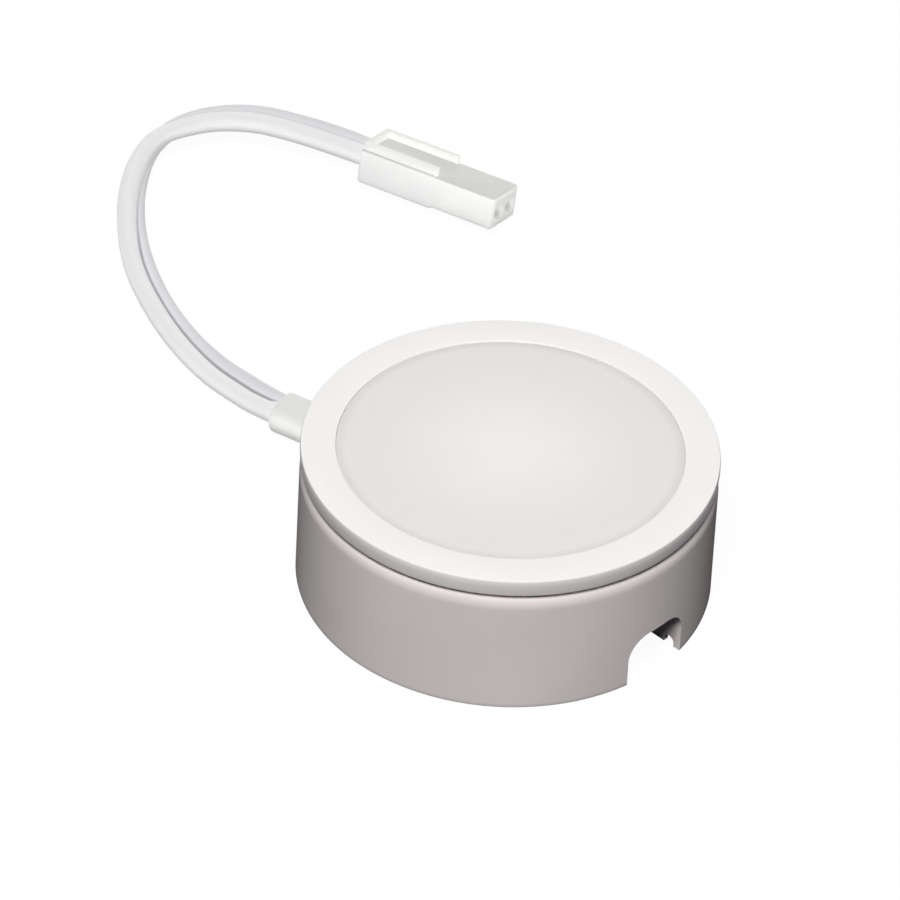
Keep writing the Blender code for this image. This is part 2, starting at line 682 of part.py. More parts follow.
def make_housing():
    groove = SKIRT_INNER - BEAD_DEPTH - FIT_GAP
    profile = [(0.0, FLOOR_TOP), (HOUSING_INNER, FLOOR_TOP), (HOUSING_INNER, HOUSING_TOP)]
    profile += [(HOUSING_RADIUS, HOUSING_TOP), (HOUSING_RADIUS, BEAD_TOP + FIT_GAP)]
    profile += [(groove, BEAD_TOP + FIT_GAP), (groove, BEAD_BOTTOM - FIT_GAP)]
    profile += [(HOUSING_RADIUS, BEAD_BOTTOM - FIT_GAP)]
    profile += [(HOUSING_RADIUS, HOUSING_BOTTOM + HOUSING_CHAMFER)]
    profile += [(HOUSING_RADIUS - HOUSING_CHAMFER, HOUSING_BOTTOM), (HOUSING_INNER, HOUSING_BOTTOM)]
    profile += [(HOUSING_INNER, FLOOR_BOTTOM), (0.0, FLOOR_BOTTOM)]
    housing = turned("module_housing", profile, CAST_HOUSING, closed=False)
    boss_low = COVER_TOP + FIT_GAP
    floor_middle = FLOOR_BOTTOM + FLOOR_THICK / 2
    for index, azimuth in enumerate(screw_azimuths()):
        frame = Matrix.Translation(polar(SCREW_CIRCLE, azimuth))
        join(housing, cylinder(f"cover_boss_{index}", BOSS_RADIUS, boss_low, floor_middle, frame=frame))
    wall_middle = HOUSING_RADIUS - HOUSING_WALL / 2
    for index, azimuth in enumerate(clip_azimuths()):
        frame = Matrix.Translation((0, 0, CLIP_SCREW_LEVEL)) @ facing_out(azimuth)
        join(housing, cylinder(f"clip_boss_{index}", CLIP_BOSS_RADIUS, CLIP_BOSS_START, wall_middle,
                               frame=frame))
    peg_low = DRIVER_BOTTOM - PEG_PROUD
    for side, place in peg_places():
        frame = Matrix.Translation(place)
        join(housing, cylinder(f"board_peg_{side}", PEG_RADIUS, peg_low, floor_middle, frame=frame))
    for index, azimuth in enumerate(screw_azimuths()):
        frame = Matrix.Translation(polar(SCREW_CIRCLE, azimuth))
        hole = cylinder(f"cover_pilot_{index}", SCREW_HOLE_RADIUS, boss_low - FLOOR_THICK,
                        FLOOR_TOP + FLOOR_THICK, frame=frame)
        cut(housing, hole)
    for index, azimuth in enumerate(clip_azimuths()):
        frame = Matrix.Translation((0, 0, CLIP_SCREW_LEVEL)) @ facing_out(azimuth)
        hole = cylinder(f"clip_pilot_{index}", SCREW_HOLE_RADIUS, CLIP_BOSS_START - HOUSING_WALL,
                        HOUSING_RADIUS + HOUSING_WALL, frame=frame)
        cut(housing, hole)
    for side, place in wire_places():
        hole = cylinder(f"floor_wire_hole_{side}", WIRE_HOLE_RADIUS, FLOOR_BOTTOM - FLOOR_THICK,
                        FLOOR_TOP + FLOOR_THICK, frame=Matrix.Translation(place), segments=HOLE_SEGMENTS)
        cut(housing, hole)
    shade_turned(housing)


def make_led_board():
    board = cylinder("led_board", INSERT_RADIUS, LED_BOARD_BOTTOM, LED_BOARD_TOP, WHITE_BOARD,
                     segments=SEGMENTS)
    low = LED_BOARD_BOTTOM - LED_BOARD_THICK
    high = LED_BOARD_TOP + LED_BOARD_THICK
    for index, azimuth in enumerate(screw_azimuths()):
        frame = Matrix.Translation(polar(SCREW_CIRCLE, azimuth))
        cut(board, cylinder(f"board_screw_hole_{index}", SCREW_HOLE_RADIUS, low, high, frame=frame))
    for side, place in wire_places():
        cut(board, cylinder(f"board_wire_hole_{side}", WIRE_HOLE_RADIUS, low, high,
                            frame=Matrix.Translation(place), segments=HOLE_SEGMENTS))
    shade_turned(board)


def make_leds():
    level = LED_BOARD_TOP + SOLDER_GAP + LED_HEIGHT / 2
    size = (LED_WIDTH, LED_LENGTH, LED_HEIGHT)
    number = 0
    for count, circle in ((LED_INNER_COUNT, LED_INNER_CIRCLE), (LED_OUTER_COUNT, LED_OUTER_CIRCLE)):
        for index in range(count):
            number += 1
            azimuth = EXIT_AZIMUTH + 2 * math.pi * (index + 0.5) / count
            block(f"led_chip_{number:02d}", size, (circle, 0.0, level), LED_PHOSPHOR, radial_frame(azimuth))


def make_reflector():
    bottom = REFLECTOR_BOTTOM
    top = REFLECTOR_BOTTOM + REFLECTOR_HEIGHT
    foot = REFLECTOR_THROAT + REFLECTOR_WALL * REFLECTOR_SPREAD / REFLECTOR_HEIGHT
    profile = [(REFLECTOR_MOUTH, top), (INSERT_RADIUS, top), (INSERT_RADIUS, bottom), (REFLECTOR_MOUTH, bottom)]
    profile += [(REFLECTOR_MOUTH, top - REFLECTOR_WALL), (foot, bottom), (REFLECTOR_THROAT, bottom)]
    shade_turned(turned("reflector", profile, WHITE_REFLECTOR))


def make_driver_board():
    board = cylinder("driver_board", DRIVER_RADIUS, DRIVER_BOTTOM, DRIVER_TOP, GREEN_BOARD,
                     segments=SEGMENTS // 2)
    low = DRIVER_BOTTOM - DRIVER_THICK
    high = DRIVER_TOP + DRIVER_THICK
    for side, place in peg_places():
        cut(board, cylinder(f"driver_peg_hole_{side}", PEG_RADIUS + FIT_GAP, low, high,
                            frame=Matrix.Translation(place)))
    for side, place in wire_places():
        cut(board, cylinder(f"driver_wire_hole_{side}", WIRE_HOLE_RADIUS, low, high,
                            frame=Matrix.Translation(place), segments=HOLE_SEGMENTS))
    shade_turned(board)


# Driver components hang under the board, laid out along and across the exit's radius
# A place on the driver board, from its shares of the board's radius
def board_place(shares, height=0.0):
    out, across = shares
    return Vector((out * DRIVER_RADIUS, across * DRIVER_RADIUS, height))


def make_driver_components():
    top = DRIVER_BOTTOM - SOLDER_GAP
    frame = radial_frame(EXIT_AZIMUTH)
    boxed = (("bridge_rectifier", RECTIFIER_SIZE, RECTIFIER_PLACE, BLACK_PACKAGE),
             ("driver_ic", DRIVER_IC_SIZE, DRIVER_IC_PLACE, BLACK_PACKAGE),
             ("film_capacitor", CAPACITOR_SIZE, CAPACITOR_PLACE, FILM_BOX))
    for name, size, place, surface in boxed:
        item = block(name, size, board_place(place, top - size[2] / 2), surface, frame)
        round_edges(item, COMPONENT_ROUND, 1)
    varistor = frame @ Matrix.Translation(board_place(VARISTOR_PLACE))
    smooth(cylinder("varistor", VARISTOR_RADIUS, top - VARISTOR_THICK, top, CERAMIC_BLUE, varistor))
    low = top - CHOKE_HEIGHT
    profile = [(0.0, top), (CHOKE_RADIUS, top), (CHOKE_RADIUS, top - CHOKE_RIM)]
    profile += [(CHOKE_WAIST, top - CHOKE_RIM), (CHOKE_WAIST, low + CHOKE_RIM)]
    profile += [(CHOKE_RADIUS, low + CHOKE_RIM), (CHOKE_RADIUS, low), (0.0, low)]
    choke = frame @ Matrix.Translation(board_place(CHOKE_PLACE))
    shade_turned(turned("choke", profile, FERRITE, False, SMALL_SEGMENTS, choke))
    fuse = frame @ Matrix.Translation(board_place(FUSE_PLACE, top - FUSE_RADIUS)) @ lying_along_x()
    smooth(cylinder("fuse", FUSE_RADIUS, -FUSE_LENGTH / 2, FUSE_LENGTH / 2, GLASS_FUSE, fuse))


def make_back_cover():
    cover = cylinder("back_cover", INSERT_RADIUS, HOUSING_BOTTOM, COVER_TOP, BLACK_COVER, segments=SEGMENTS)
    low = HOUSING_BOTTOM - COVER_THICK
    high = COVER_TOP + COVER_THICK
    # the sink's cone keeps its slope past the cover's face, so that it cuts clean
    sink_low = HOUSING_BOTTOM - SINK_HEAD_DEPTH
    sink_high = HOUSING_BOTTOM + SINK_HEAD_DEPTH
    sink_foot = SINK_HEAD_RADIUS + FIT_GAP + SINK_HEAD_RADIUS - SCREW_RADIUS
    for index, azimuth in enumerate(screw_azimuths()):
        frame = Matrix.Translation(polar(SCREW_CIRCLE, azimuth))
        cut(cover, cylinder(f"cover_hole_{index}", SCREW_HOLE_RADIUS, low, high, frame=frame))
        cut(cover, cylinder(f"cover_sink_{index}", sink_foot, sink_low, sink_high, frame=frame,
                            top_radius=SCREW_HOLE_RADIUS))
    entry = radial_frame(EXIT_AZIMUTH) @ Matrix.Translation((LEAD_ENTRY, 0.0, 0.0))
    cut(cover, cylinder("lead_entry", LEAD_ENTRY_RADIUS, low, high, frame=entry))
    slot = oval_outline(VENT_LENGTH, VENT_WIDTH, steps=VENT_STEPS)
    for index in range(VENT_COUNT):
        azimuth = EXIT_AZIMUTH + 2 * math.pi * (index + 0.5) / VENT_COUNT
        frame = radial_frame(azimuth) @ Matrix.Translation((VENT_CIRCLE, 0.0, (low + high) / 2))
        cut(cover, extruded(f"vent_{index}", [slot], high - low, None, frame))
    shade_turned(cover)


def make_screws():
    head_low = LED_BOARD_TOP + SOLDER_GAP
    head_top = head_low + SCREW_HEAD_THICK
    tip = head_low - BOARD_SCREW_REACH
    board = [(0.0, head_top), (SCREW_HEAD_RADIUS, head_top), (SCREW_HEAD_RADIUS, head_low)]
    board += [(SCREW_RADIUS, head_low), (SCREW_RADIUS, tip), (0.0, tip)]
    flush = HOUSING_BOTTOM
    top = flush + COVER_SCREW_REACH
    cover = [(0.0, top), (SCREW_RADIUS, top), (SCREW_RADIUS, flush + SINK_HEAD_DEPTH)]
    cover += [(SINK_HEAD_RADIUS, flush), (0.0, flush)]
    for index, azimuth in enumerate(screw_azimuths()):
        frame = Matrix.Translation(polar(SCREW_CIRCLE, azimuth))
        for name, profile in ((f"board_screw_{index + 1}", board), (f"cover_screw_{index + 1}", cover)):
            shade_turned(turned(name, profile, STEEL_SCREW, False, SMALL_SEGMENTS, frame))


# A bent strip: the outline of a path at a given thickness
def strip_outline(path, thickness):
    half = thickness / 2
    left = []
    right = []
    for index, point in enumerate(path):
        before = Vector(path[max(index - 1, 0)])
        after = Vector(path[min(index + 1, len(path) - 1)])
        here = Vector(point)
        into = (here - before) if index else (after - here)
        away = (after - here) if index < len(path) - 1 else (here - before)
        into.normalize()
        away.normalize()
        bisector = (into + away).normalized()
        normal = Vector((-bisector.y, bisector.x))
        reach = half / max(bisector.dot(into), 0.5)
        left.append(tuple(here + normal * reach))
        right.append(tuple(here - normal * reach))
    return left + right[::-1]


def make_clips():
    leg = HOUSING_RADIUS + FIT_GAP + CLIP_THICK / 2
    # the flat strip's corners reach the collar's wall first
    reach = math.sqrt(COLLAR_INNER ** 2 - (CLIP_WIDTH / 2) ** 2)
    tip = reach - FIT_GAP - CLIP_THICK / 2
    top = LIP_BOTTOM - FIT_GAP
    knee = top - CLIP_KNEE
    land = top - CLIP_LAND
    path = [(leg, HOUSING_BOTTOM + CLIP_FOOT), (leg, knee), (tip, land), (tip, top)]
    outline = strip_outline(path, CLIP_THICK)
    seat = leg + CLIP_THICK / 2 + SOLDER_GAP
    head = seat + SCREW_HEAD_THICK
    inner = CLIP_BOSS_START + FIT_GAP
    profile = [(0.0, head), (SCREW_HEAD_RADIUS, head), (SCREW_HEAD_RADIUS, seat)]
    profile += [(SCREW_RADIUS, seat), (SCREW_RADIUS, inner), (0.0, inner)]
    for index, azimuth in enumerate(clip_azimuths()):
        clip = extruded(f"spring_clip_{index + 1}", [outline], CLIP_WIDTH, SPRING_STEEL, standing(azimuth))
        frame = Matrix.Translation((0, 0, CLIP_SCREW_LEVEL)) @ facing_out(azimuth)
        cut(clip, cylinder(f"clip_hole_{index}", SCREW_HOLE_RADIUS, HOUSING_RADIUS, COLLAR_RADIUS,
                           frame=frame, segments=HOLE_SEGMENTS))
        shade_turned(turned(f"clip_screw_{index + 1}", profile, STEEL_SCREW, False, SMALL_SEGMENTS, frame))


# Two wires from the driver board, up through the floor and bent over onto the light board
def make_led_wires():
    pad_level = LED_BOARD_TOP + SOLDER_GAP + LED_WIRE_RADIUS
    bend = pad_level - LED_BOARD_TOP
    names = (("led_wire_negative", WIRE_BLACK, -1), ("led_wire_positive", WIRE_RED, 1))
    for (side, place), (name, surface, way) in zip(wire_places(), names):
        frame = Matrix.Translation((place.x, place.y, pad_level)) @ radial_frame(EXIT_AZIMUTH + math.pi)
        turn = arc((bend, -bend), bend, 180, 90, ARC_STEPS)
        path = [(0.0, DRIVER_BOTTOM - PEG_PROUD - pad_level), *turn, (2 * bend, 0.0)]
        points = [frame @ Vector((0.0, way * across, up)) for across, up in path]
        tube(name, points, LED_WIRE_RADIUS, surface)


# The lead's two cores run in from the relief, turn up and end at the driver board
def make_lead_cores():
    start = RELIEF_START - FIT_GAP
    turn = arc((LEAD_ENTRY + LEAD_BEND, RELIEF_LEVEL + LEAD_BEND), LEAD_BEND, 270, 180, OVAL_STEPS)
    path = [(start, RELIEF_LEVEL), *turn, (LEAD_ENTRY, DRIVER_BOTTOM - SOLDER_GAP)]
    cores = (("lead_core_line", WIRE_BLACK, -CORE_SHIFT), ("lead_core_neutral", WHITE_PVC, CORE_SHIFT))
    for name, surface, shift in cores:
        points = [radial_frame(EXIT_AZIMUTH) @ Vector((out, shift, up)) for out, up in path]
        tube(name, points, LEAD_CORE_RADIUS, surface)


# One closed body through rings of equally many corners
def lofted(name, rings, surface):
    count = len(rings[0])
    corners = [corner for ring in rings for corner in ring]
    last = len(corners) - count
    faces = [tuple(range(count)), tuple(range(last, len(corners)))]
    for start in range(0, last, count):
        for index in range(count):
            after = (index + 1) % count
            faces.append((start + index, start + after, start + count + after, start + count + index))
    mesh = bpy.data.meshes.new(name)
    mesh.from_pydata(corners, [], faces)
    work = bmesh.new()
    work.from_mesh(mesh)
    bmesh.ops.recalc_face_normals(work, faces=work.faces)
    work.to_mesh(mesh)
    work.free()
    return smooth(place_object(name, mesh, surface))


# An oval ring square to a horizontal direction
def oval_ring(place, ahead, width, height):
    across = Vector((0.0, 0.0, 1.0)).cross(ahead)
    return [place + across * side + Vector((0.0, 0.0, up)) for side, up in oval_outline(width, height)]


# Places along the relief's body and the direction at each, from the clamp to its free end
def relief_axis():
    frame = radial_frame(EXIT_AZIMUTH)
    route = [(RELIEF_BODY, 0.0)] + [(COLLAR_RADIUS + out, across) for out, across in RELIEF_ROUTE]
    places = smooth_route([frame @ Vector((*spot, RELIEF_LEVEL)) for spot in route], RELIEF_SAMPLES)
    chords = [(after - before).normalized() for before, after in zip(places, places[2:])]
    outward = frame @ Vector((1.0, 0.0, 0.0))
    return places, [outward, *chords, (places[-1] - places[-2]).normalized()]


def make_strain_relief():
    places, directions = relief_axis()
    outward = directions[0]
    flange_start = outward * RELIEF_START + Vector((0.0, 0.0, RELIEF_LEVEL))
    flange_end = flange_start + outward * FLANGE_THICK
    rings = [oval_ring(place, outward, RELIEF_WIDTH, RELIEF_HEIGHT) for place in (flange_start, flange_end)]
    rings += [oval_ring(place, outward, NECK_WIDTH, NECK_HEIGHT) for place in (flange_end, places[0])]
    rings += [oval_ring(place, ahead, RELIEF_WIDTH, RELIEF_HEIGHT)
              for place, ahead in zip(places[:-1], directions)]
    end = places[-1]
    ahead = directions[-1]
    for drop, reach in arc((0.0, 0.0), RELIEF_ROUND, 0, 90, ARC_STEPS):
        inset = RELIEF_ROUND - drop
        rings.append(oval_ring(end + ahead * (reach - RELIEF_ROUND), ahead,
                               RELIEF_WIDTH - 2 * inset, RELIEF_HEIGHT - 2 * inset))
    lofted("strain_relief", rings, WHITE_RELIEF)


# A smooth curve through chosen points, read at even steps
def smooth_route(points, samples):
    places = [Vector(point) for point in points]
    ends = [places[0] * 2 - places[1]] + places + [places[-1] * 2 - places[-2]]
    fine = []
    for index in range(1, len(ends) - 2):
        before, here, after, beyond = ends[index - 1:index + 3]
        for step in range(CURVE_STEPS):
            part = step / CURVE_STEPS
            fine.append(0.5 * (2 * here + (after - before) * part
                               + (2 * before - 5 * here + 4 * after - beyond) * part ** 2
                               + (3 * here - before - 3 * after + beyond) * part ** 3))
    fine.append(places[-1])
    lengths = [0.0]
    for first, second in zip(fine, fine[1:]):
        lengths.append(lengths[-1] + (second - first).length)
    route = []
    spot = 0
    for sample in range(samples):
        wanted = lengths[-1] * sample / (samples - 1)
        while spot < len(fine) - 2 and lengths[spot + 1] < wanted:
            spot += 1
        share = (wanted - lengths[spot]) / (lengths[spot + 1] - lengths[spot])
        route.append(fine[spot].lerp(fine[spot + 1], share))
    return route


def connector_frame():
    lift = CONNECTOR_WIDTH / 2 * abs(math.sin(CONNECTOR_ROLL))
    turn = Matrix.Rotation(CONNECTOR_YAW, 4, "Z") @ Matrix.Rotation(CONNECTOR_ROLL, 4, "X")
    return Matrix.Translation((*CONNECTOR_PLACE, lift)) @ turn


def make_cord():
    places, directions = relief_axis()
    end = Vector((places[-1].x, places[-1].y, CORD_HEIGHT))
    away = (Vector(CORD_ROUTE[0]) - end).normalized()
    lean = away.angle(directions[-1])
    start = end + away * (FIT_GAP + CORD_WIDTH / 2 * math.sin(lean))
    arriving = connector_frame() @ Vector((-FIT_GAP - CORD_STRAIGHT, 0.0, CORD_ENTRY))
    rear = connector_frame() @ Vector((-FIT_GAP, 0.0, CORD_ENTRY))
    points = [start, *CORD_ROUTE, arriving, rear]
    tube("cord", smooth_route(points, CORD_SAMPLES), CORD_WIDTH / 2, WHITE_PVC, resolution=3)


def make_connector():
    axis = bpy.data.objects.new("connector_axis", None)
    PARTS.objects.link(axis)
    axis.matrix_world = connector_frame()
    rear = block("connector_housing", (CONNECTOR_REAR, CONNECTOR_WIDTH, CONNECTOR_HEIGHT),
                 (CONNECTOR_REAR / 2, 0.0, CONNECTOR_HEIGHT / 2), NATURAL_NYLON, parent=axis)
    round_edges(rear, CONNECTOR_ROUND)
    front_start = CONNECTOR_REAR / 2
    front_length = CONNECTOR_LENGTH - front_start
    front_height = CONNECTOR_HEIGHT - CONNECTOR_STEP
    front = block("connector_front",
                  (front_length, CONNECTOR_WIDTH - 2 * SOLDER_GAP, front_height - SOLDER_GAP),
                  (front_start + front_length / 2, 0.0, CONNECTOR_STEP + (front_height - SOLDER_GAP) / 2),
                  parent=axis)
    round_edges(front, CONNECTOR_ROUND)
    join(rear, front)
    half = CONNECTOR_WIDTH / 2 - GUARD_INSET
    inner = half - GUARD_WALL
    low = GUARD_INSET
    outline = [(low, -half), (GUARD_LENGTH, -half), (GUARD_LENGTH, -inner), (low + GUARD_WALL, -inner)]
    outline += [(low + GUARD_WALL, inner), (GUARD_LENGTH, inner), (GUARD_LENGTH, half), (low, half)]
    guard_low = CONNECTOR_HEIGHT - CONNECTOR_ROUND
    guard = GUARD_HEIGHT + CONNECTOR_ROUND
    rails = extruded("connector_guard", [outline], guard, None,
                     Matrix.Translation((0, 0, guard_low + guard / 2)), parent=axis)
    round_edges(rails, SOLDER_GAP * 2, 1)
    join(rear, rails)
    for side, shift in enumerate((-SOCKET_SPACING / 2, SOCKET_SPACING / 2)):
        frame = Matrix.Translation((0.0, shift, CONNECTOR_HEIGHT / 2)) @ lying_along_x()
        socket = cylinder(f"socket_{side}", SOCKET_RADIUS, CONNECTOR_LENGTH - SOCKET_DEPTH,
                          CONNECTOR_LENGTH + SOCKET_DEPTH, frame=frame, parent=axis)
        cut(rear, socket)
        mouth = cylinder(f"socket_mouth_{side}", SOCKET_RADIUS, CONNECTOR_LENGTH - SOCKET_CHAMFER,
                         CONNECTOR_LENGTH + SOCKET_CHAMFER, frame=frame, parent=axis,
                         top_radius=SOCKET_RADIUS + 2 * SOCKET_CHAMFER)
        cut(rear, mouth)
        outer = SOCKET_RADIUS - FIT_GAP
        end = CONNECTOR_LENGTH - CONTACT_RECESS
        bottom = end - CONTACT_LENGTH
        profile = [(outer - CONTACT_WALL, end), (outer, end), (outer, bottom), (outer - CONTACT_WALL, bottom)]
        turned(f"socket_contact_{side + 1}", profile, TINNED_BRASS, True, SMALL_SEGMENTS, frame, axis)


make_collar()
make_trim_ring()
make_diffuser()
make_housing()
make_led_board()
make_leds()
make_reflector()
make_driver_board()
make_driver_components()
make_back_cover()
make_screws()
make_clips()
make_led_wires()
make_lead_cores()
make_strain_relief()
make_cord()
make_connector()
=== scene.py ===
# LED puck light: the finish of every piece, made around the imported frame
# Metres, +Z up along the puck's axis, origin at the middle of the collar's foot
import json
import math

import bmesh
import bpy
from mathutils import Matrix, Vector


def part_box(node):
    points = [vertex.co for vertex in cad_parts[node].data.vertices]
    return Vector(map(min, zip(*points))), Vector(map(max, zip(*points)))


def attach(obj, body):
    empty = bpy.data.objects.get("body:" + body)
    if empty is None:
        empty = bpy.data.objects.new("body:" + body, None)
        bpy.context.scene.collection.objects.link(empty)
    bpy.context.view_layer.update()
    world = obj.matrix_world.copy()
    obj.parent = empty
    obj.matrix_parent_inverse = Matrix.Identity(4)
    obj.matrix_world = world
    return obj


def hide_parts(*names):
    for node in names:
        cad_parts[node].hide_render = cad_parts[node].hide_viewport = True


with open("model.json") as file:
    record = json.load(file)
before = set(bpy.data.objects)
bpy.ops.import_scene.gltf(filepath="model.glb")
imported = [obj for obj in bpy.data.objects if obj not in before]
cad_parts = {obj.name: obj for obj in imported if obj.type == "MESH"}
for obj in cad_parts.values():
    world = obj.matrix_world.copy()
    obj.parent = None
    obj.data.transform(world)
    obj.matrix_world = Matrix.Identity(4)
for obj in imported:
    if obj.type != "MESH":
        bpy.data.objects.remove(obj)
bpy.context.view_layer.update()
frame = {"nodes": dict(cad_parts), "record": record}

print("frame loaded:", len(frame["nodes"]), "nodes")


class Wire:  # one output socket; arithmetic on it adds Math nodes
    def __init__(self, finish, socket):
        self.finish = finish
        self.socket = socket

    def maths(self, operation, first, second):
        return self.finish.node("ShaderNodeMath", {"operation": operation}, {0: first, 1: second})

    def __add__(self, other):
        return self.maths("ADD", self, other)

    def __radd__(self, other):
        return self.maths("ADD", other, self)

    def __sub__(self, other):
        return self.maths("SUBTRACT", self, other)

    def __mul__(self, other):
        return self.maths("MULTIPLY", self, other)

    def __rmul__(self, other):
        return self.maths("MULTIPLY", other, self)

    def highest(self, other):
        return self.maths("MAXIMUM", self, other)


class Finish:  # a material, or the world it is given, and the nodes that feed its shader
    def __init__(self, name, world=None):
        self.owner = world or bpy.data.materials.new(name)
        self.owner.use_nodes = True
        self.tree = self.owner.node_tree
        self.tree.nodes.clear()
        self.place = self.node("ShaderNodeTexCoord", output="Object")

    def node(self, kind, settings=None, sockets=None, output=0):
        made = self.tree.nodes.new(kind)
        for setting, value in (settings or {}).items():
            setattr(made, setting, value)
        for socket, value in (sockets or {}).items():
            if isinstance(value, Wire):
                self.tree.links.new(value.socket, made.inputs[socket])
            else:
                made.inputs[socket].default_value = value
        return Wire(self, made.outputs[output]) if len(made.outputs) else None

    def noise(self, scale, detail, place=None):
        sockets = {"Vector": place or self.place, "Scale": scale, "Detail": detail}
        return self.node("ShaderNodeTexNoise", {}, sockets)

    def clamped(self, value, low, high, first=0.0, last=1.0):  # value from low to high becomes first to last
        settings = {"interpolation_type": "SMOOTHSTEP"}
        sockets = {"Value": value, "From Min": low, "From Max": high, "To Min": first, "To Max": last}
        return self.node("ShaderNodeMapRange", settings, sockets)

    def mixed(self, factor, first, second):  # a colour mix has its two colours in sockets 6 and 7
        sockets = {0: factor, 6: shade(first), 7: shade(second)}
        return self.node("ShaderNodeMix", {"data_type": "RGBA"}, sockets, output=2)

    def clouded(self, cloud, first, second, low=0.35, high=0.65, most=1.0):
        return self.mixed(self.clamped(cloud, low, high, 0.0, most), first, second)

    def along(self, vector, axis):
        return self.node("ShaderNodeSeparateXYZ", {}, {"Vector": vector}, output=axis)

    def paintedTopShadeMask(self):  # 1 on faces that look up, 0 on walls: a mask for shade painted onto top faces
        facing = self.node("ShaderNodeNewGeometry", output="Normal")
        return self.clamped(self.along(facing, "Z"), low=0.15, high=0.95)

    def stretched(self, scale):
        return self.node("ShaderNodeMapping", {}, {"Vector": self.place, "Scale": scale})

    def surface(self, colour, roughness, height, depth, **fixed):
        bump = self.node("ShaderNodeBump", {}, {"Height": height, "Distance": depth})
        sockets = {"Base Color": shade(colour), "Roughness": roughness, "Normal": bump}
        for name, value in fixed.items():
            sockets[name.replace("_", " ")] = value
        shader = self.node("ShaderNodeBsdfPrincipled", {}, sockets)
        self.node("ShaderNodeOutputMaterial", {}, {"Surface": shader})
        return self.owner


def shade(colour):  # three numbers become a colour with alpha, a link stays
    return colour if isinstance(colour, Wire) else (*colour[:3], 1.0)


def dimmed(colour, share):
    return tuple(channel * share for channel in colour)


def newItem(name, data):
    item = bpy.data.objects.new(name, data)
    bpy.context.scene.collection.objects.link(item)
    return item


# Camera, at the photograph's angle
cameraPlace = {"lens": 160.0, "sensor": 36.0, "clipStart": 0.01, "distance": 0.66645, "aimHeight": 0.012,
               "elevation": 39.313, "turn": -0.864, "pitch": -0.850, "roll": -3.447}


def addCamera(place):
    data = bpy.data.cameras.new("camera")
    data.lens = place["lens"]
    data.sensor_width = place["sensor"]
    data.clip_start = place["clipStart"]
    item = newItem("camera", data)
    elevation = math.radians(place["elevation"])
    aim = Matrix.Rotation(math.pi / 2 - elevation, 4, "X")
    aim = aim @ Matrix.Rotation(-math.radians(place["turn"]), 4, "Y")
    aim = aim @ Matrix.Rotation(-math.radians(place["pitch"]), 4, "X")
    aim = aim @ Matrix.Rotation(-math.radians(place["roll"]), 4, "Z")
    away = Vector((0.0, -math.cos(elevation), math.sin(elevation))) * place["distance"]
    item.matrix_world = Matrix.Translation(away + Vector((0.0, 0.0, place["aimHeight"]))) @ aim
    bpy.context.scene.camera = item


addCamera(cameraPlace)


# Shapes, all in the frame's metres
latheSteps = 288
weldDistance = 0.000001
cutBeyond = 0.001  # how far a cut runs past what it cuts


def painted(piece, material):
    piece.data.materials.clear()
    piece.data.materials.append(material)
    return piece


def fromBmesh(name, work, material=None):
    bmesh.ops.recalc_face_normals(work, faces=work.faces)
    mesh = bpy.data.meshes.new(name)
    work.to_mesh(mesh)
    work.free()
    piece = newItem(name, mesh)
    return piece if material is None else painted(piece, material)


def smoothed(piece, degrees):
    piece.data.shade_smooth()
    piece.data.set_sharp_from_angle(angle=math.radians(degrees))
    return piece


def applied(piece):
    bpy.context.view_layer.update()
    graph = bpy.context.evaluated_depsgraph_get()
    mesh = bpy.data.meshes.new_from_object(piece.evaluated_get(graph))
    mesh.name = piece.name
    piece.modifiers.clear()
    piece.data = mesh
    return piece


def combined(body, tools, operation):
    for tool in tools:
        change = body.modifiers.new(tool.name, "BOOLEAN")
        change.operation = operation
        change.object = tool
        change.solver = "EXACT"
    applied(body)
    for tool in tools:
        bpy.data.objects.remove(tool, do_unlink=True)
    return body


def rounded(piece, width, segments, degrees=35):
    bevel = piece.modifiers.new("edges", "BEVEL")
    bevel.width = width
    bevel.segments = segments
    bevel.limit_method = "ANGLE"
    bevel.angle_limit = math.radians(degrees)
    return applied(piece)


def arc(centre, radius, start, end, steps, tall=None):
    tall = tall or radius
    points = []
    for step in range(steps + 1):
        angle = math.radians(start + (end - start) * step / steps)
        points.append((centre[0] + radius * math.cos(angle), centre[1] + tall * math.sin(angle)))
    return points


def polar(radius, azimuth, height=0.0):
    return Vector((radius * math.cos(azimuth), radius * math.sin(azimuth), height))


def lathe(name, profile, material=None, closed=True):  # a profile of (radius, height)
    work = bmesh.new()
    turns = [2 * math.pi * step / latheSteps for step in range(latheSteps)]
    rings = []
    for radius, height in profile:
        spots = [polar(radius, turn, height) for turn in (turns if radius > 0 else [0.0])]
        rings.append([work.verts.new(spot) for spot in spots])
    pairs = list(zip(rings, rings[1:])) + ([(rings[-1], rings[0])] if closed else [])
    for upper, lower in pairs:
        for step in range(latheSteps):
            corners = [upper[step % len(upper)], upper[(step + 1) % len(upper)],
                       lower[(step + 1) % len(lower)], lower[step % len(lower)]]
            work.faces.new(list(dict.fromkeys(corners)))
    return fromBmesh(name, work, material)


def prism(name, outline, low, high, place=None):  # an outline in X and Y, pulled along Z
    work = bmesh.new()
    foot = [work.verts.new((across, up, low)) for across, up in outline]
    top = [work.verts.new((across, up, high)) for across, up in outline]
    work.faces.new(foot[::-1])
    work.faces.new(top)
    for index in range(len(outline)):
        after = (index + 1) % len(outline)
        work.faces.new((foot[index], foot[after], top[after], top[index]))
    if place is not None:
        bmesh.ops.transform(work, matrix=place, verts=work.verts)
    return fromBmesh(name, work)


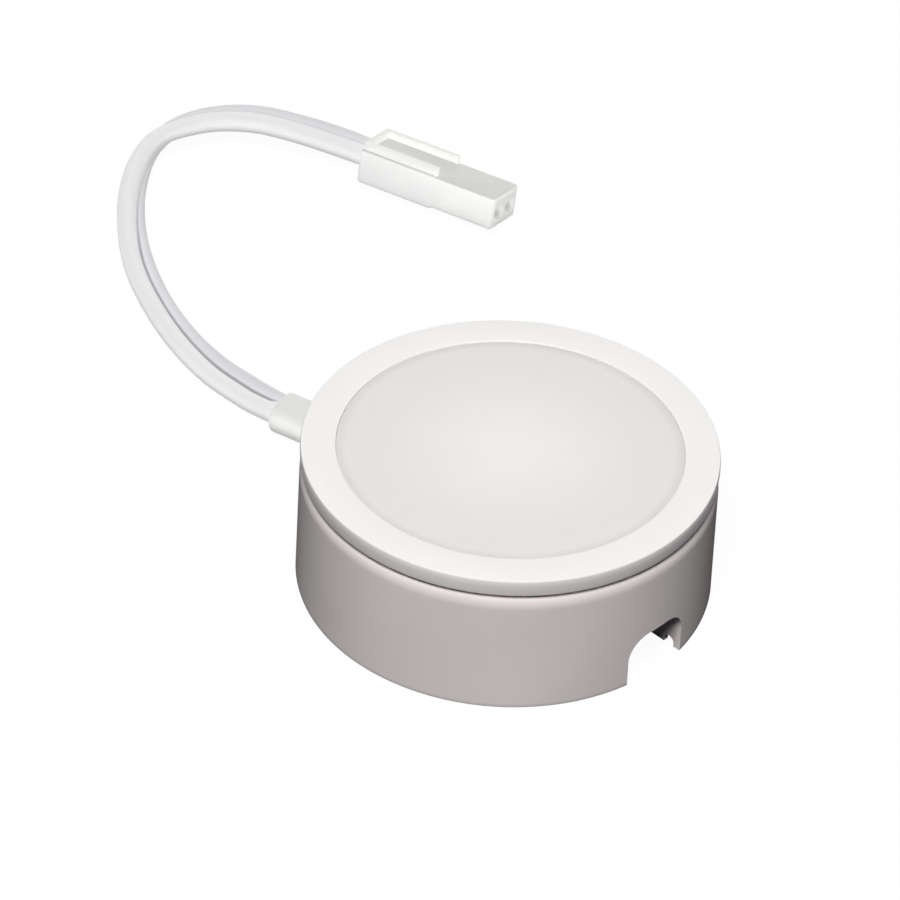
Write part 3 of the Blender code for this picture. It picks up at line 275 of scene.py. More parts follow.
def loft(name, rings, material, marks=None):  # a skin over rings of one size; its corners can carry marks
    work = bmesh.new()
    mark = work.verts.layers.float_vector.new("mark") if marks else None
    made = [[work.verts.new(spot) for spot in ring] for ring in rings]
    for ring, values in zip(made, marks or []):
        for corner, value in zip(ring, values):
            corner[mark] = value
    for near, far in zip(made, made[1:]):
        for index in range(len(near)):
            after = (index + 1) % len(near)
            work.faces.new((near[index], near[after], far[after], far[index]))
    work.faces.new(made[0])
    work.faces.new(made[-1][::-1])
    bmesh.ops.remove_doubles(work, verts=work.verts, dist=weldDistance)
    return fromBmesh(name, work, material)


def radial(azimuth):
    return Matrix.Rotation(azimuth, 4, "Z")


def facingOut(azimuth):  # X round the puck, Y up, Z out
    return radial(azimuth) @ Matrix(((0, 0, 1, 0), (1, 0, 0, 0), (0, 1, 0, 0), (0, 0, 0, 1)))


def standing(azimuth):  # X out, Y up, Z across
    return radial(azimuth) @ Matrix.Rotation(math.pi / 2, 4, "X")


def archOutline(width, height, corner, drop=cutBeyond):  # it stands on a line at -drop
    half = width / 2
    corner = min(corner, half)
    outline = [(half, -drop)] + arc((half - corner, height - corner), corner, 0, 90, steps=12)
    left = arc((corner - half, height - corner), corner, 90, 180, steps=12)
    return outline + (left[1:] if corner == half else left) + [(-half, -drop)]


def ovalOutline(width, height):  # two half circles and the straight stretches between them
    radius = height / 2
    reach = width / 2 - radius
    return arc((reach, 0.0), radius, -90, 90, steps=16) + arc((-reach, 0.0), radius, 90, 270, steps=16)


# Where the lead leaves the collar, and where a second one could
exitAzimuth = math.radians(138.5)
spareAzimuth = math.radians(-42.2)
fitGap = 0.0003  # between the relief's neck and the slot that grips it


# Relief, cord and connector: the flat cord twists as it lies, close to the frame's own route
relief = {
    "width": 0.0083, "height": 0.0060, "level": 0.0030, "round": 0.0006, "edge": 0.0002, "steps": 40,
    "start": 0.0274, "flange": 0.0015, "neckWidth": 0.0055, "neckHeight": 0.0042,
    # out from the puck's axis, across
    "route": [(0.0305, 0.0), (0.0338, -0.0001), (0.0388, -0.0012), (0.0438, -0.0015), (0.0488, -0.0006),
              (0.0537, 0.0005)],
}
cord = {
    "width": 0.0066, "core": 0.00352, "steps": 200, "sectionSteps": 26, "inside": 0.0010,
    # the groove opens over this length, and from fadeFrom on most of it fills again
    "groove": 0.0020, "fadeFrom": 0.055, "fade": 0.025, "filled": 0.8,
    # x, y, height of the centre, twist in degrees
    "route": [
        (-0.03992, 0.03525, 0.00290, 0), (-0.04613, 0.04073, 0.00197, -8), (-0.05287, 0.04695, 0.00184, -2),
        (-0.05924, 0.05475, 0.00208, 12), (-0.06490, 0.06440, 0.00237, 23), (-0.06943, 0.07522, 0.00254, 30),
        (-0.07231, 0.08641, 0.00292, 49), (-0.07357, 0.09725, 0.00316, 65), (-0.07318, 0.10660, 0.00358, 85),
        (-0.07105, 0.11393, 0.00427, 116), (-0.06659, 0.11888, 0.00491, 155),
        (-0.06004, 0.12146, 0.00557, 173), (-0.05217, 0.12172, 0.00582, 182),
        (-0.04381, 0.11982, 0.00542, 185),
    ],
    # the same, in the connector's own frame
    "ends": [(-0.0070, 0.0, 0.00428, 187), (0.0010, 0.0, 0.00428, 180)],
}
connector = {
    "place": (-0.0301, 0.1127), "yaw": -28.4, "roll": -10.9,
    "length": 0.0295, "width": 0.0094, "height": 0.0070, "rear": 0.0165, "step": 0.0003, "inset": 0.0001,
    "edge": 0.0006, "guardLength": 0.0168, "guardHeight": 0.0015, "guardWall": 0.0010, "guardInset": 0.0004,
    "guardEdge": 0.0002, "socket": 0.0014, "spacing": 0.0042, "socketDepth": 0.0110, "socketChamfer": 0.0003,
}


def connectorFrame():
    lift = connector["width"] / 2 * abs(math.sin(math.radians(connector["roll"])))
    turn = Matrix.Rotation(math.radians(connector["yaw"]), 4, "Z")
    turn = turn @ Matrix.Rotation(math.radians(connector["roll"]), 4, "X")
    return Matrix.Translation((*connector["place"], lift)) @ turn


def cordStations():
    stations = [(Vector(station[:3]), station[3]) for station in cord["route"]]
    place = connectorFrame()
    return stations + [(place @ Vector(station[:3]), station[3]) for station in cord["ends"]]


def smoothStations(stations, samples):  # a smooth curve through the stations, read at even steps
    first = (stations[0][0] * 2 - stations[1][0], stations[0][1])
    last = (stations[-1][0] * 2 - stations[-2][0], stations[-1][1])
    ends = [first, *stations, last]
    fineSteps = 16
    fine = []
    for index in range(1, len(ends) - 2):
        for step in range(fineSteps):
            part = step / fineSteps
            weights = (-0.5 * part + part ** 2 - 0.5 * part ** 3, 1 - 2.5 * part ** 2 + 1.5 * part ** 3,
                       0.5 * part + 2 * part ** 2 - 1.5 * part ** 3, -0.5 * part ** 2 + 0.5 * part ** 3)
            around = ends[index - 1:index + 3]
            place = sum((spot * weight for (spot, twist), weight in zip(around, weights)), Vector())
            fine.append((place, sum(twist * weight for (spot, twist), weight in zip(around, weights))))
    fine.append(stations[-1])
    lengths = [0.0]
    for before, after in zip(fine, fine[1:]):
        lengths.append(lengths[-1] + (after[0] - before[0]).length)
    even = []
    near = 0
    for sample in range(samples + 1):
        wanted = lengths[-1] * sample / samples
        while near < len(fine) - 2 and lengths[near + 1] < wanted:
            near += 1
        share = (wanted - lengths[near]) / (lengths[near + 1] - lengths[near])
        (place, twist), (farPlace, farTwist) = fine[near:near + 2]
        even.append((place.lerp(farPlace, share), twist + (farTwist - twist) * share, wanted))
    return even, lengths[-1]


def cordSection(depth):  # depth from 0 for a filled oval to 1 for two round cores
    radius = cord["core"] / 2
    reach = cord["width"] / 2 - radius
    meeting = math.acos(reach / radius)
    steps = cord["sectionSteps"]
    points = []
    for side in (1, -1):
        for step in range(steps + 1):
            angle = (math.pi - meeting) * (2 * step / steps - 1)
            across = side * (reach + radius * math.cos(angle))
            up = side * radius * math.sin(angle)
            if abs(angle) > math.pi / 2:
                up = math.copysign(radius + (abs(up) - radius) * depth, up)
            points.append((across, up))
    return points


def makeCord(material):
    stations, length = smoothStations(cordStations(), cord["steps"])
    reach = (cord["width"] - cord["core"]) / 2
    rings = []
    marks = []
    for index, (place, twist, run) in enumerate(stations):
        before = stations[max(index - 1, 0)][0]
        after = stations[min(index + 1, len(stations) - 1)][0]
        ahead = (after - before).normalized()
        outer = Vector((0, 0, 1)).cross(ahead).normalized()
        up = ahead.cross(outer).normalized()
        angle = math.radians(twist)
        along = outer * math.cos(angle) + up * math.sin(angle)
        thick = up * math.cos(angle) - outer * math.sin(angle)
        place.z = max(place.z, cord["core"] / 2 + reach * abs(math.sin(angle)))
        clear = min(max((run - cord["inside"]) / cord["groove"], 0.0), 1.0)
        clear *= 1 - cord["filled"] * min(max((run - cord["fadeFrom"]) / cord["fade"], 0.0), 1.0)
        rings.append([place + along * across + thick * high for across, high in cordSection(clear)])
        marks.append([(2 * across / cord["width"], clear, 0.0) for across, high in cordSection(clear)])
    piece = smoothed(loft("flatCord", rings, material, marks), 50)
    return piece, [place for place, twist, run in stations], length


def whitePvc():  # painted shade: darker on top faces, in the groove and on one of the two cores; a painted glow lifts it all
    finish = Finish("whitePvc")
    cloud = finish.noise(160.0, 2.0)
    grain = finish.noise(5200.0, 3.0)
    # what makeCord marks on the skin: the place across the cord, and how open the groove is there
    mark = finish.node("ShaderNodeAttribute", {"attribute_name": "mark"}, output="Vector")
    across = finish.along(mark, "X")
    clear = finish.along(mark, "Y")
    outer = finish.clamped(across, -0.7, 0.3)
    groove = clear * finish.clamped(across * across, 0.0, 0.02, first=0.9, last=0.0)
    colour = finish.clouded(cloud, (0.62, 0.62, 0.63), (0.65, 0.65, 0.655))
    # painted shade: faces that look up get a darker colour
    colour = finish.mixed(finish.paintedTopShadeMask(), colour, (0.40, 0.40, 0.405))
    # painted shade: one of the two cores is painted darker than the other
    colour = finish.mixed(outer, (0.28, 0.28, 0.295), colour)
    # painted shade along the groove between the cores
    colour = finish.mixed(groove, colour, (0.10, 0.10, 0.11))
    # painted glow: an emission that brightens the cord, weaker on the shaded core and in the groove
    glow = finish.mixed(outer, (0.74, 0.74, 0.765), (0.83, 0.83, 0.84))
    glow = finish.mixed(groove, glow, (0.44, 0.44, 0.46))
    return finish.surface(colour, 0.42 + 0.08 * grain, 0.5 * grain + 0.5 * cloud, 0.000010,
                          Specular_IOR_Level=0.12, Emission_Color=glow, Emission_Strength=0.5,
                          Subsurface_Weight=1.0, Subsurface_Radius=(1.0, 1.0, 1.0), Subsurface_Scale=0.0012)


cordPiece, cordPath, cordLength = makeCord(whitePvc())
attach(cordPiece, "root")
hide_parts("cord")
print("cord made:", round(cordLength, 4), "m")


# Strain relief: a bent oval sleeve with a soft end, gripped by the collar's clamp
def ovalRing(place, ahead, inset, width=relief["width"], height=relief["height"]):
    across = Vector((0.0, 0.0, 1.0)).cross(ahead)
    outline = ovalOutline(width - 2 * inset, height - 2 * inset)
    return [place + across * side + Vector((0.0, 0.0, up)) for side, up in outline]


def makeRelief(material):
    turn = radial(exitAzimuth)
    outward = turn @ Vector((1.0, 0.0, 0.0))
    route = [(turn @ Vector((*spot, relief["level"])), 0.0) for spot in relief["route"]]
    places = [place for place, twist, run in smoothStations(route, relief["steps"])[0]]
    edge = relief["edge"]
    start = outward * relief["start"] + Vector((0.0, 0.0, relief["level"]))
    flangeEnd = start + outward * relief["flange"]
    rings = [ovalRing(start, outward, edge), ovalRing(start + outward * edge, outward, 0.0),
             ovalRing(flangeEnd - outward * edge, outward, 0.0), ovalRing(flangeEnd, outward, edge)]
    neck = (relief["neckWidth"], relief["neckHeight"])
    rings += [ovalRing(flangeEnd, outward, 0.0, *neck), ovalRing(places[0], outward, 0.0, *neck)]
    rings += [ovalRing(places[0], outward, edge), ovalRing(places[0] + outward * edge, outward, 0.0)]
    for before, place, after in zip(places, places[1:], places[2:-1]):
        rings.append(ovalRing(place, (after - before).normalized(), 0.0))
    ahead = (places[-1] - places[-2]).normalized()
    soft = relief["round"]
    for drop, reach in arc((0.0, 0.0), soft, 0, 90, steps=8):
        rings.append(ovalRing(places[-1] + ahead * (reach - soft), ahead, soft - drop))
    return smoothed(loft("strainRelief", rings, material), 40)


def whiteRelief():
    finish = Finish("whiteRelief")
    cloud = finish.noise(220.0, 2.0)
    grain = finish.noise(4200.0, 4.0)
    colour = finish.clouded(cloud, (0.735, 0.745, 0.725), (0.765, 0.77, 0.755))
    # painted shade: faces that look up get a darker colour
    colour = finish.mixed(finish.paintedTopShadeMask(), colour, (0.37, 0.375, 0.36))
    # painted glow: an emission that brightens the whole sleeve
    return finish.surface(colour, 0.45 + 0.1 * grain, grain, 0.00002, Specular_IOR_Level=0.2,
                          Emission_Color=(0.80, 0.81, 0.79, 1.0), Emission_Strength=0.45,
                          Subsurface_Weight=1.0, Subsurface_Radius=(1.0, 1.0, 0.95), Subsurface_Scale=0.003)


reliefPiece = makeRelief(whiteRelief())
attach(reliefPiece, "root")
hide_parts("strain_relief")
print("strain relief made")


# Connector: a two-way body with a guard round its latch bed
def slab(name, low, high):
    work = bmesh.new()
    bmesh.ops.create_cube(work, size=1.0)
    size = Vector(high) - Vector(low)
    bmesh.ops.scale(work, vec=size, verts=work.verts)
    bmesh.ops.translate(work, vec=(Vector(high) + Vector(low)) / 2, verts=work.verts)
    return fromBmesh(name, work)


def rod(name, radius, low, high, place, topRadius=None):
    work = bmesh.new()
    wide = radius if topRadius is None else topRadius
    bmesh.ops.create_cone(work, cap_ends=True, segments=48, radius1=radius, radius2=wide, depth=high - low,
                          matrix=place @ Matrix.Translation((0.0, 0.0, (low + high) / 2)))
    return fromBmesh(name, work)


def makeConnector(material):
    half = connector["width"] / 2
    step = connector["step"]
    rear = slab("connectorBody", (0, -half, 0), (connector["rear"], half, connector["height"]))
    side = half - connector["inset"]
    front = slab("connectorNose", (connector["rear"] / 2, -side, step),
                 (connector["length"], side, connector["height"] - connector["inset"]))
    rear, front = (rounded(box, connector["edge"], segments=3) for box in (rear, front))
    outer = half - connector["guardInset"]
    inner = outer - connector["guardWall"]
    low = connector["guardInset"]
    tip = connector["guardWall"] / 2
    outline = [(low, -outer)] + arc((connector["guardLength"] - tip, -outer + tip), tip, -90, 90, steps=8)
    outline += [(low + connector["guardWall"], -inner), (low + connector["guardWall"], inner)]
    outline += arc((connector["guardLength"] - tip, outer - tip), tip, -90, 90, steps=8) + [(low, outer)]
    top = connector["height"] + connector["guardHeight"]
    guard = prism("connectorGuard", outline, connector["height"] - connector["edge"], top)
    guard = rounded(guard, connector["guardEdge"], segments=2, degrees=50)
    body = combined(rear, [front, guard], "UNION")
    chamfer = connector["socketChamfer"]
    holes = []
    for side in (-0.5, 0.5):
        place = Matrix.Translation((0.0, side * connector["spacing"], connector["height"] / 2))
        place = place @ Matrix.Rotation(math.pi / 2, 4, "Y")
        holes.append(rod("socketHole", connector["socket"], connector["length"] - connector["socketDepth"],
                         connector["length"] + cutBeyond, place))
        holes.append(rod("socketMouth", connector["socket"], connector["length"] - chamfer,
                         connector["length"] + chamfer, place, topRadius=connector["socket"] + 2 * chamfer))
    body = combined(body, holes, "DIFFERENCE")
    body.data.transform(connectorFrame())
    return smoothed(painted(body, material), 35)


def naturalNylon():  # painted shade: its top faces are darker than its sides, darkest on the bed between the rails; a painted glow lifts it all
    finish = Finish("naturalNylon")
    cloud = finish.noise(260.0, 2.0)
    grain = finish.noise(4800.0, 3.0)
    colour = finish.clouded(cloud, (0.65, 0.65, 0.655), (0.68, 0.68, 0.685))
    place = connectorFrame()
    up = place.col[2].xyz
    level = finish.node("ShaderNodeVectorMath", {"operation": "DOT_PRODUCT"}, {0: finish.place, 1: up},
                        output="Value") - place.translation.dot(up)
    rails = finish.clamped(level, connector["height"], connector["height"] + connector["guardHeight"])
    # painted shade: faces at the rails' height are darker
    colour = finish.mixed(rails, colour, (0.46, 0.46, 0.43))
    # painted shade for top faces: darkest on the bed between the rails, less on the rail tops
    paintedTopShade = finish.mixed(rails, (0.16, 0.16, 0.14), (0.30, 0.30, 0.27))
    colour = finish.mixed(finish.paintedTopShadeMask(), colour, paintedTopShade)
    # painted glow: an emission that brightens every face
    return finish.surface(colour, 0.38 + 0.1 * grain, 0.6 * grain + 0.4 * cloud, 0.00001,
                          Specular_IOR_Level=0.3,
                          Emission_Color=(0.85, 0.85, 0.83, 1.0), Emission_Strength=0.5,
                          Subsurface_Weight=1.0, Subsurface_Radius=(1.0, 1.0, 0.95), Subsurface_Scale=0.004)


connectorPiece = makeConnector(naturalNylon())
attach(connectorPiece, "root")
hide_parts("connector_housing")
print("connector made")


# Surface collar
collar = {
    "radius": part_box("surface_collar")[1].x, "height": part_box("surface_collar")[1].z,
    "wall": 0.0013, "draft": 0.00035, "shoulder": 0.0015, "shoulderHeight": 0.0026, "gap": 0.0004,
    # heights of the wall's rings, the first one measured down from the shoulder
    "ringBelow": 0.0006, "ringMiddle": 0.0100, "ringLow": 0.0008,
    "foot": 0.0002, "lipWidth": 0.0010, "lipThick": 0.0011,
    "notchWidth": 0.0127, "notchHeight": 0.0092, "notchRound": 0.0043,
    "channelWall": 0.0010, "channelEnd": 0.0265, "channelOverlap": 0.0002,
    "windowWidth": 0.0021, "windowHeight": 0.0017,
    "clampOuter": 0.0302, "clampInner": 0.0292,
    "ribs": 6, "ribThick": 0.0012, "ribInner": 0.0314, "ribShelf": 0.0298, "shelfHeight": 0.0107,
    "ribTop": 0.0200, "ribFoot": 0.0040,
    "lugWidth": 0.0100, "lugThick": 0.0022, "lugCircle": 0.0275, "lugTurns": (math.pi / 2, -math.pi / 2),
    "lugHole": 0.0019, "lugSink": 0.0036, "sinkDepth": 0.0012,
}


def makeCollar(material):
    radius = collar["radius"]
    height = collar["height"] - collar["gap"]
    inner = radius - collar["wall"]
    lip = inner - collar["lipWidth"]
    shoulder = (radius - collar["draft"] - collar["shoulder"], height - collar["shoulderHeight"])
    foot = (radius - collar["foot"], collar["foot"])
    profile = [(lip, height)]
    profile += arc(shoulder, collar["shoulder"], 90, 0, steps=12, tall=collar["shoulderHeight"])
    lean = collar["draft"] / shoulder[1]
    for level in (shoulder[1] - collar["ringBelow"], collar["ringMiddle"], collar["ringLow"]):
        profile.append((radius - lean * level, level))
    profile += arc(foot, collar["foot"], 0, -90, steps=3)
    profile += [(inner, 0.0), (inner, height - collar["lipThick"]), (lip, height - collar["lipThick"])]
    shell = lathe("surfaceCollar", profile)
    shell = combined(shell, collarAdditions(radius, inner), "UNION")
    shell = combined(shell, collarCuts(radius, inner), "DIFFERENCE")
    return smoothed(painted(shell, material), 32)


def collarAdditions(radius, inner):
    middle = radius - collar["wall"] / 2
    additions = []
    tunnel = archOutline(collar["notchWidth"] + 2 * collar["channelWall"],
                         collar["notchHeight"] + collar["channelWall"],
                         collar["notchRound"] + collar["channelWall"], drop=0.0)
    for azimuth in (exitAzimuth, spareAzimuth):
        additions.append(prism("tunnel", tunnel, collar["channelEnd"], inner + collar["channelOverlap"],
                               facingOut(azimuth)))
    slope = middle - collar["ribShelf"]
    rib = [(middle, collar["ribFoot"]), (middle, collar["ribTop"]), (collar["ribInner"], collar["ribTop"]),
           (collar["ribInner"], collar["shelfHeight"]), (collar["ribShelf"], collar["shelfHeight"]),
           (collar["ribShelf"], collar["ribFoot"] + slope)]
    for index in range(collar["ribs"]):
        azimuth = exitAzimuth + 2 * math.pi * (index + 0.5) / collar["ribs"]
        half = collar["ribThick"] / 2
        additions.append(prism("moduleRib", rib, -half, half, standing(azimuth)))
    half = collar["lugWidth"] / 2
    lug = [(middle, -half), (middle, half)] + arc((collar["lugCircle"], 0.0), half, 90, 270, steps=24)
    for turn in collar["lugTurns"]:
        additions.append(prism("lug", lug, 0.0, collar["lugThick"], radial(exitAzimuth + turn)))
    return additions


def collarCuts(radius, inner):
    cuts = []
    arch = archOutline(collar["notchWidth"], collar["notchHeight"], collar["notchRound"])
    within = collar["channelEnd"] - cutBeyond
    beyond = radius + cutBeyond
    cuts.append(prism("exitNotch", arch, collar["clampOuter"], beyond, facingOut(exitAzimuth)))
    cuts.append(prism("exitChannel", arch, within, collar["clampInner"], facingOut(exitAzimuth)))
    cuts.append(prism("spareNotch", arch, within, beyond, facingOut(spareAzimuth)))
    slot = archOutline(relief["neckWidth"] + 2 * fitGap,
                       (relief["height"] + relief["neckHeight"]) / 2 + fitGap,
                       relief["neckHeight"] / 2 + fitGap)
    cuts.append(prism("clampSlot", slot, collar["clampInner"] - cutBeyond, collar["clampOuter"] + cutBeyond,
                      facingOut(exitAzimuth)))
    sideMiddle = (collar["notchWidth"] + collar["channelWall"]) / 2
    windowMiddle = math.sqrt(inner ** 2 - sideMiddle ** 2) - collar["windowWidth"] / 2
    window = archOutline(collar["windowWidth"], collar["windowHeight"], collar["windowWidth"] / 2)
    window = [(windowMiddle + across, up) for across, up in window]
    span = collar["notchWidth"] / 2 + 2 * collar["channelWall"]
    for azimuth in (exitAzimuth, spareAzimuth):
        cuts.append(prism("sideWindows", window, -span, span, standing(azimuth)))
    thick = collar["lugThick"]
    sink = collar["sinkDepth"]
    for turn in collar["lugTurns"]:
        place = Matrix.Translation(polar(collar["lugCircle"], exitAzimuth + turn))
        cuts.append(rod("lugHole", collar["lugHole"], -cutBeyond, thick + cutBeyond, place))
        cuts.append(rod("lugSink", collar["lugHole"], thick - sink, thick + sink, place,
                        topRadius=2 * collar["lugSink"] - collar["lugHole"]))
    return cuts


def whiteShell():
    finish = Finish("whiteShell")
    cloud = finish.noise(55.0, 3.0)
    grain = finish.noise(3800.0, 3.0)
    ripple = finish.noise(900.0, 1.0)
    colour = finish.clouded(cloud, (0.845, 0.783, 0.775), (0.875, 0.813, 0.805))
    return finish.surface(colour, 0.40 + 0.1 * grain, 0.5 * grain + 0.5 * ripple, 0.000012,
                          Specular_IOR_Level=0.0)


collarPiece = makeCollar(whiteShell())
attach(collarPiece, "root")
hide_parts("surface_collar")
print("collar made")


# Trim ring and lens
trim = {
    "radius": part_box("trim_ring")[1].x, "inset": 0.00012, "top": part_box("trim_ring")[1].z,
    "thick": 0.0031, "face": 0.0059, "edge": 0.00010, "lower": 0.00025, "draft": 0.00012, "inner": 0.00020,
    # the outer edge is part of an ellipse, crownShare of crownHeight tall
    "crown": 0.00012, "crownHeight": 0.0011, "crownShare": 0.93,
    "skirtOuter": 0.0324, "skirtInner": 0.0314, "skirtDepth": 0.0029, "skirtChamfer": 0.0003,
    "rebate": 0.0307, "rebateTop": 0.0248,
}
lens = {
    "top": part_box("diffuser")[1].z, "face": 0.0287, "faceRings": (0.5, 0.9), "thick": 0.0016,
    "flange": 0.0304, "flangeBottom": 0.0236, "flangeTop": 0.0245, "rim": 0.0010, "edge": 0.00005,
    # out from the middle: where the painted highlight ends, and where the painted shade at the rim runs
    "paintedHighlightReach": 0.026, "shadeFrom": 0.0268, "shadeTo": 0.0288,
}


def makeTrim(material):
    radius = trim["radius"] - trim["inset"]
    bottom = trim["top"] - trim["thick"]
    opening = radius - trim["face"]
    corner = trim["inner"]
    profile = [(opening + corner, trim["top"])]
    crown = radius - trim["crown"]
    profile += arc((crown - trim["edge"], trim["top"] - trim["edge"]), trim["edge"], 90, 15, steps=4)
    profile += arc((crown, trim["top"] - trim["crownHeight"]), trim["crown"], 75, 0, steps=8,
                   tall=trim["crownHeight"] * trim["crownShare"])
    low = radius - trim["draft"] - trim["lower"]
    profile += arc((low, bottom + trim["lower"]), trim["lower"], 0, -90, steps=4)
    skirtFoot = bottom - trim["skirtDepth"]
    profile += [(trim["skirtOuter"], bottom), (trim["skirtOuter"], skirtFoot + trim["skirtChamfer"]),
                (trim["skirtOuter"] - trim["skirtChamfer"], skirtFoot),
                (trim["skirtInner"], skirtFoot), (trim["skirtInner"], bottom)]
    profile += [(trim["rebate"], bottom), (trim["rebate"], trim["rebateTop"]), (opening, trim["rebateTop"])]
    profile += arc((opening + corner, trim["top"] - corner), corner, 180, 90, steps=4)[:-1]
    return smoothed(lathe("trimRing", profile, material), 32)


def makeLens(material):
    bottom = lens["top"] - lens["thick"]
    edge = lens["edge"]
    profile = [(lens["face"] * share, lens["top"]) for share in (0.0, *lens["faceRings"])]
    profile += arc((lens["face"] - edge, lens["top"] - edge), edge, 90, 0, steps=8)
    profile += [(lens["face"], lens["flangeTop"]), (lens["flange"], lens["flangeTop"]),
                (lens["flange"], lens["flangeBottom"]), (lens["face"] - lens["rim"], lens["flangeBottom"]),
                (lens["face"] - lens["rim"], bottom), (0.0, bottom)]
    return smoothed(lathe("frostedLens", profile, material, closed=False), 32)


def whiteTrim():
    finish = Finish("whiteTrim")
    cloud = finish.noise(70.0, 3.0)
    grain = finish.noise(4200.0, 3.0)
    # painted light: the walls are painted paler and the top face darker, on one and the same material
    colour = finish.mixed(finish.paintedTopShadeMask(), (0.95, 0.91, 0.90), (0.90, 0.885, 0.87))
    colour = finish.clouded(cloud, colour, (0.83, 0.81, 0.80), 0.3, 0.7, most=0.15)
    return finish.surface(colour, 0.38 + 0.1 * grain, grain, 0.000008, Specular_IOR_Level=0.03)


def frostedLens():
    finish = Finish("frostedLens")
    out = finish.node("ShaderNodeVectorMath", {"operation": "LENGTH"}, {0: finish.stretched((1, 1, 0))},
                      output="Value")
    # painted highlight: the middle of the lens is painted brighter, fading out towards the rim
    glow = finish.clamped(out, 0.0, lens["paintedHighlightReach"], first=1.0, last=0.0)
    cloud = finish.noise(120.0, 2.0)
    grain = finish.noise(7000.0, 2.0)
    colour = finish.mixed(glow, (0.77, 0.747, 0.744), (0.87, 0.845, 0.835))
    # painted shade in a band near the rim, where the lens meets the ring
    shaded = finish.clamped(out, lens["shadeFrom"], lens["shadeTo"], last=0.45)
    colour = finish.mixed(shaded, colour, (0.50, 0.475, 0.46))
    colour = finish.clouded(cloud, colour, (0.79, 0.772, 0.768), 0.3, 0.7, most=0.25)
    return finish.surface(colour, 0.50 + 0.12 * grain, grain, 0.000012, Specular_IOR_Level=0.25)


trimPiece = makeTrim(whiteTrim())
lensPiece = makeLens(frostedLens())
for piece, node, slotName in ((trimPiece, "trim_ring", "white_trim"),
                              (lensPiece, "diffuser", "frosted_lens")):
    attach(piece, "root")
    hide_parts(node)
print("trim ring and lens made")


# Finishes for the pieces inside, which keep the frame's own solids
inside = {
    "cloudSize": 12, "spread": 0.06, "grainRoughness": 0.12,
    "streakDark": 0.85, "streakPale": 1.1, "streakRoughness": 0.2, "streakDepth": 0.000006,
    "cellScale": 260.0, "traceFrom": 0.03, "traceTo": 0.06, "traceDepth": 0.00002,
}


def grainy(name, colour, roughness, grainScale, depth, metallic=0.0):
    finish = Finish(name)
    cloud = finish.noise(grainScale / inside["cloudSize"], 2.0)
    grain = finish.noise(grainScale, 3.0)
    dark = dimmed(colour, 1 - inside["spread"])
    pale = dimmed(colour, 1 + inside["spread"])
    varied = finish.clouded(cloud, dark, pale, 0.3, 0.7)
    return finish.surface(varied, roughness + inside["grainRoughness"] * grain, grain, depth,
                          Metallic=metallic)


def brushed(name, colour, roughness, scale):
    finish = Finish(name)
    streak = finish.noise(1.0, 3.0, place=finish.stretched(scale))
    varied = finish.mixed(streak, dimmed(colour, inside["streakDark"]), dimmed(colour, inside["streakPale"]))
    return finish.surface(varied, roughness + inside["streakRoughness"] * streak, streak,
                          inside["streakDepth"], Metallic=1.0)


def boardFinish(name, colour, trace):
    finish = Finish(name)
    cells = finish.node("ShaderNodeTexVoronoi", {"feature": "DISTANCE_TO_EDGE"},
                        {"Vector": finish.place, "Scale": inside["cellScale"]})
    lines = finish.clamped(cells, inside["traceFrom"], inside["traceTo"])
    grain = finish.noise(3000.0, 2.0)
    varied = finish.mixed(lines, colour, trace)
    return finish.surface(varied, 0.42 + 0.1 * grain, lines, inside["traceDepth"])


insideFinishes = {
    "cast_housing": grainy("castHousing", (0.70, 0.70, 0.69), 0.38, 2600.0, 0.00003, 0.9),
    "white_reflector": grainy("whiteReflector", (0.86, 0.86, 0.85), 0.28, 3000.0, 0.000005),
    "white_board": boardFinish("whiteBoard", (0.78, 0.78, 0.76), (0.84, 0.84, 0.82)),
    "green_board": boardFinish("greenBoard", (0.04, 0.18, 0.09), (0.07, 0.28, 0.14)),
    "led_phosphor": grainy("ledPhosphor", (0.88, 0.72, 0.20), 0.35, 5000.0, 0.00001),
    "black_package": grainy("blackPackage", (0.03, 0.03, 0.03), 0.45, 5000.0, 0.00001),
    "ceramic_blue": grainy("ceramicBlue", (0.06, 0.20, 0.45), 0.30, 2500.0, 0.00001),
    "film_box": grainy("filmBox", (0.58, 0.10, 0.07), 0.35, 3500.0, 0.00001),
    "ferrite": grainy("ferrite", (0.09, 0.09, 0.10), 0.55, 4200.0, 0.00003),
    "glass_fuse": grainy("glassFuse", (0.72, 0.69, 0.58), 0.20, 2500.0, 0.000005),
    "black_cover": grainy("blackCover", (0.045, 0.045, 0.047), 0.42, 3200.0, 0.00003),
    "steel_screw": brushed("steelScrew", (0.62, 0.62, 0.63), 0.25, (2500, 2500, 9000)),
    "spring_steel": brushed("springSteel", (0.56, 0.56, 0.57), 0.22, (600, 600, 9000)),
    "wire_red": grainy("wireRed", (0.55, 0.04, 0.03), 0.35, 4200.0, 0.000008),
    "wire_black": grainy("wireBlack", (0.03, 0.03, 0.03), 0.35, 4200.0, 0.000008),
    "tinned_brass": brushed("tinnedBrass", (0.72, 0.66, 0.50), 0.25, (9000, 2500, 2500)),
}
insideFinishes["white_pvc"] = cordPiece.data.materials[0]


def dressFrame():
    slots = {row["node"]: row["material_slot"] for row in frame["record"]["subparts"]}
    for name, node in frame["nodes"].items():
        if slots[name] in insideFinishes and not node.hide_render:
            painted(node, insideFinishes[slots[name]])


dressFrame()
print("inner pieces finished")


# Stage: a floor that shows white, soft light from above and in front, and a weak lamp behind
light = {
    "key": {"azimuth": -96.0, "elevation": 60.0, "distance": 1.8, "size": 0.7, "watts": 34.4},
    "back": {"azimuth": 80.0, "elevation": 20.0, "distance": 1.1, "size": 0.9, "watts": 2.5},
    "ambient": 0.02, "floorSize": 3.0, "floorGap": 0.00005,
    "floorWhite": 0.955, "floorColour": (0.045, 0.045, 0.045), "floorSpread": 0.03,
}


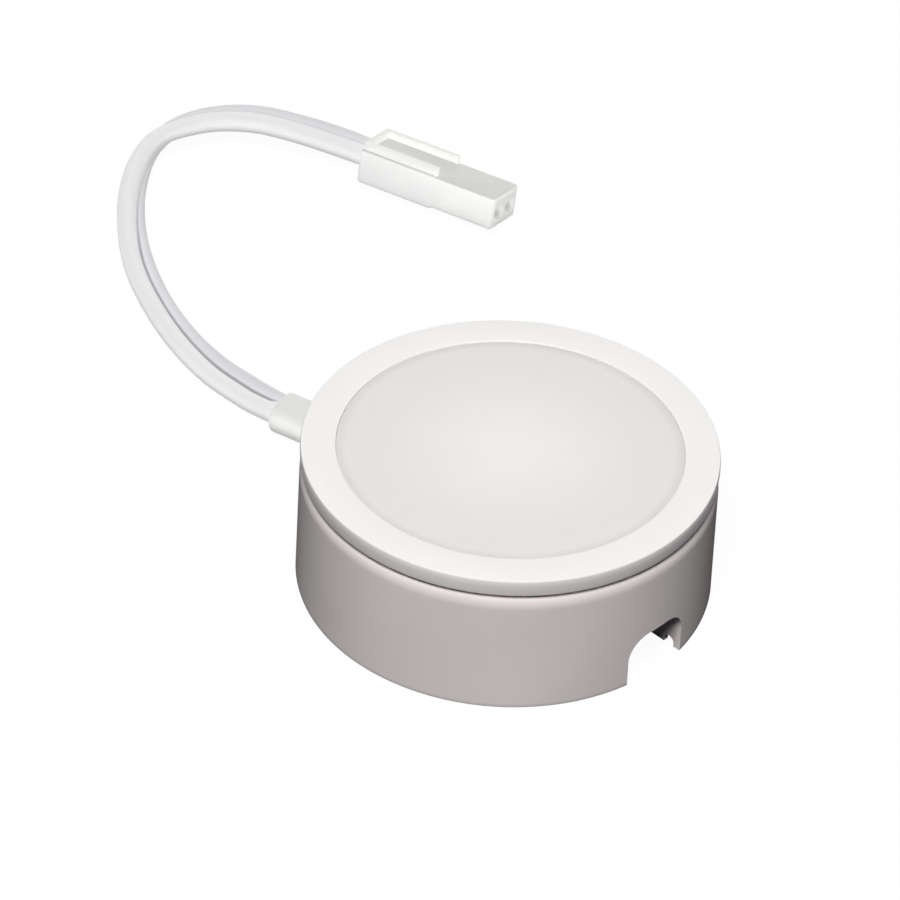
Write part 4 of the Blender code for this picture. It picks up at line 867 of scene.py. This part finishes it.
def addLamp(name, settings):
    data = bpy.data.lights.new(name, "AREA")
    data.shape = "DISK"
    data.size = settings["size"]
    data.energy = settings["watts"]
    item = newItem(name, data)
    elevation = math.radians(settings["elevation"])
    away = polar(math.cos(elevation), math.radians(settings["azimuth"]), math.sin(elevation))
    item.location = away * settings["distance"]
    item.rotation_euler = away.to_track_quat("Z", "Y").to_euler()


def seenDirectly(finish):  # 1 for camera, glossy and transmission rays
    rays = [finish.node("ShaderNodeLightPath", output=name)
            for name in ("Is Camera Ray", "Is Glossy Ray", "Is Transmission Ray")]
    return rays[0].highest(rays[1]).highest(rays[2])


def floorFinish():
    finish = Finish("floorPaper")
    grain = finish.noise(400.0, 2.0)
    colour = finish.mixed(grain, dimmed(light["floorColour"], 1 - light["floorSpread"]),
                          dimmed(light["floorColour"], 1 + light["floorSpread"]))
    paper = finish.node("ShaderNodeBsdfDiffuse", {}, {"Color": colour})
    glow = finish.node("ShaderNodeEmission", {}, {"Color": (1.0, 1.0, 1.0, 1.0),
                                                  "Strength": light["floorWhite"]})
    lit = finish.node("ShaderNodeAddShader", {}, {0: paper, 1: glow})
    shader = finish.node("ShaderNodeMixShader", {}, {0: seenDirectly(finish), 1: paper, 2: lit})
    finish.node("ShaderNodeOutputMaterial", {}, {"Surface": shader})
    return finish.owner


def makeStage():
    work = bmesh.new()
    bmesh.ops.create_grid(work, x_segments=1, y_segments=1, size=light["floorSize"],
                          matrix=Matrix.Translation((0.0, 0.0, -light["floorGap"])))
    floor = fromBmesh("floor", work, floorFinish())
    world = bpy.data.worlds.new("studio")
    bpy.context.scene.world = world
    sky = Finish("studio", world)
    strength = sky.clamped(seenDirectly(sky), 0.0, 1.0, first=light["ambient"])
    background = sky.node("ShaderNodeBackground", {}, {"Strength": strength})
    sky.node("ShaderNodeOutputWorld", {}, {"Surface": background})


makeStage()
addLamp("keySoftbox", light["key"])
addLamp("backSoftbox", light["back"])
bpy.context.scene.view_settings.view_transform = "Standard"
print("stage lit")
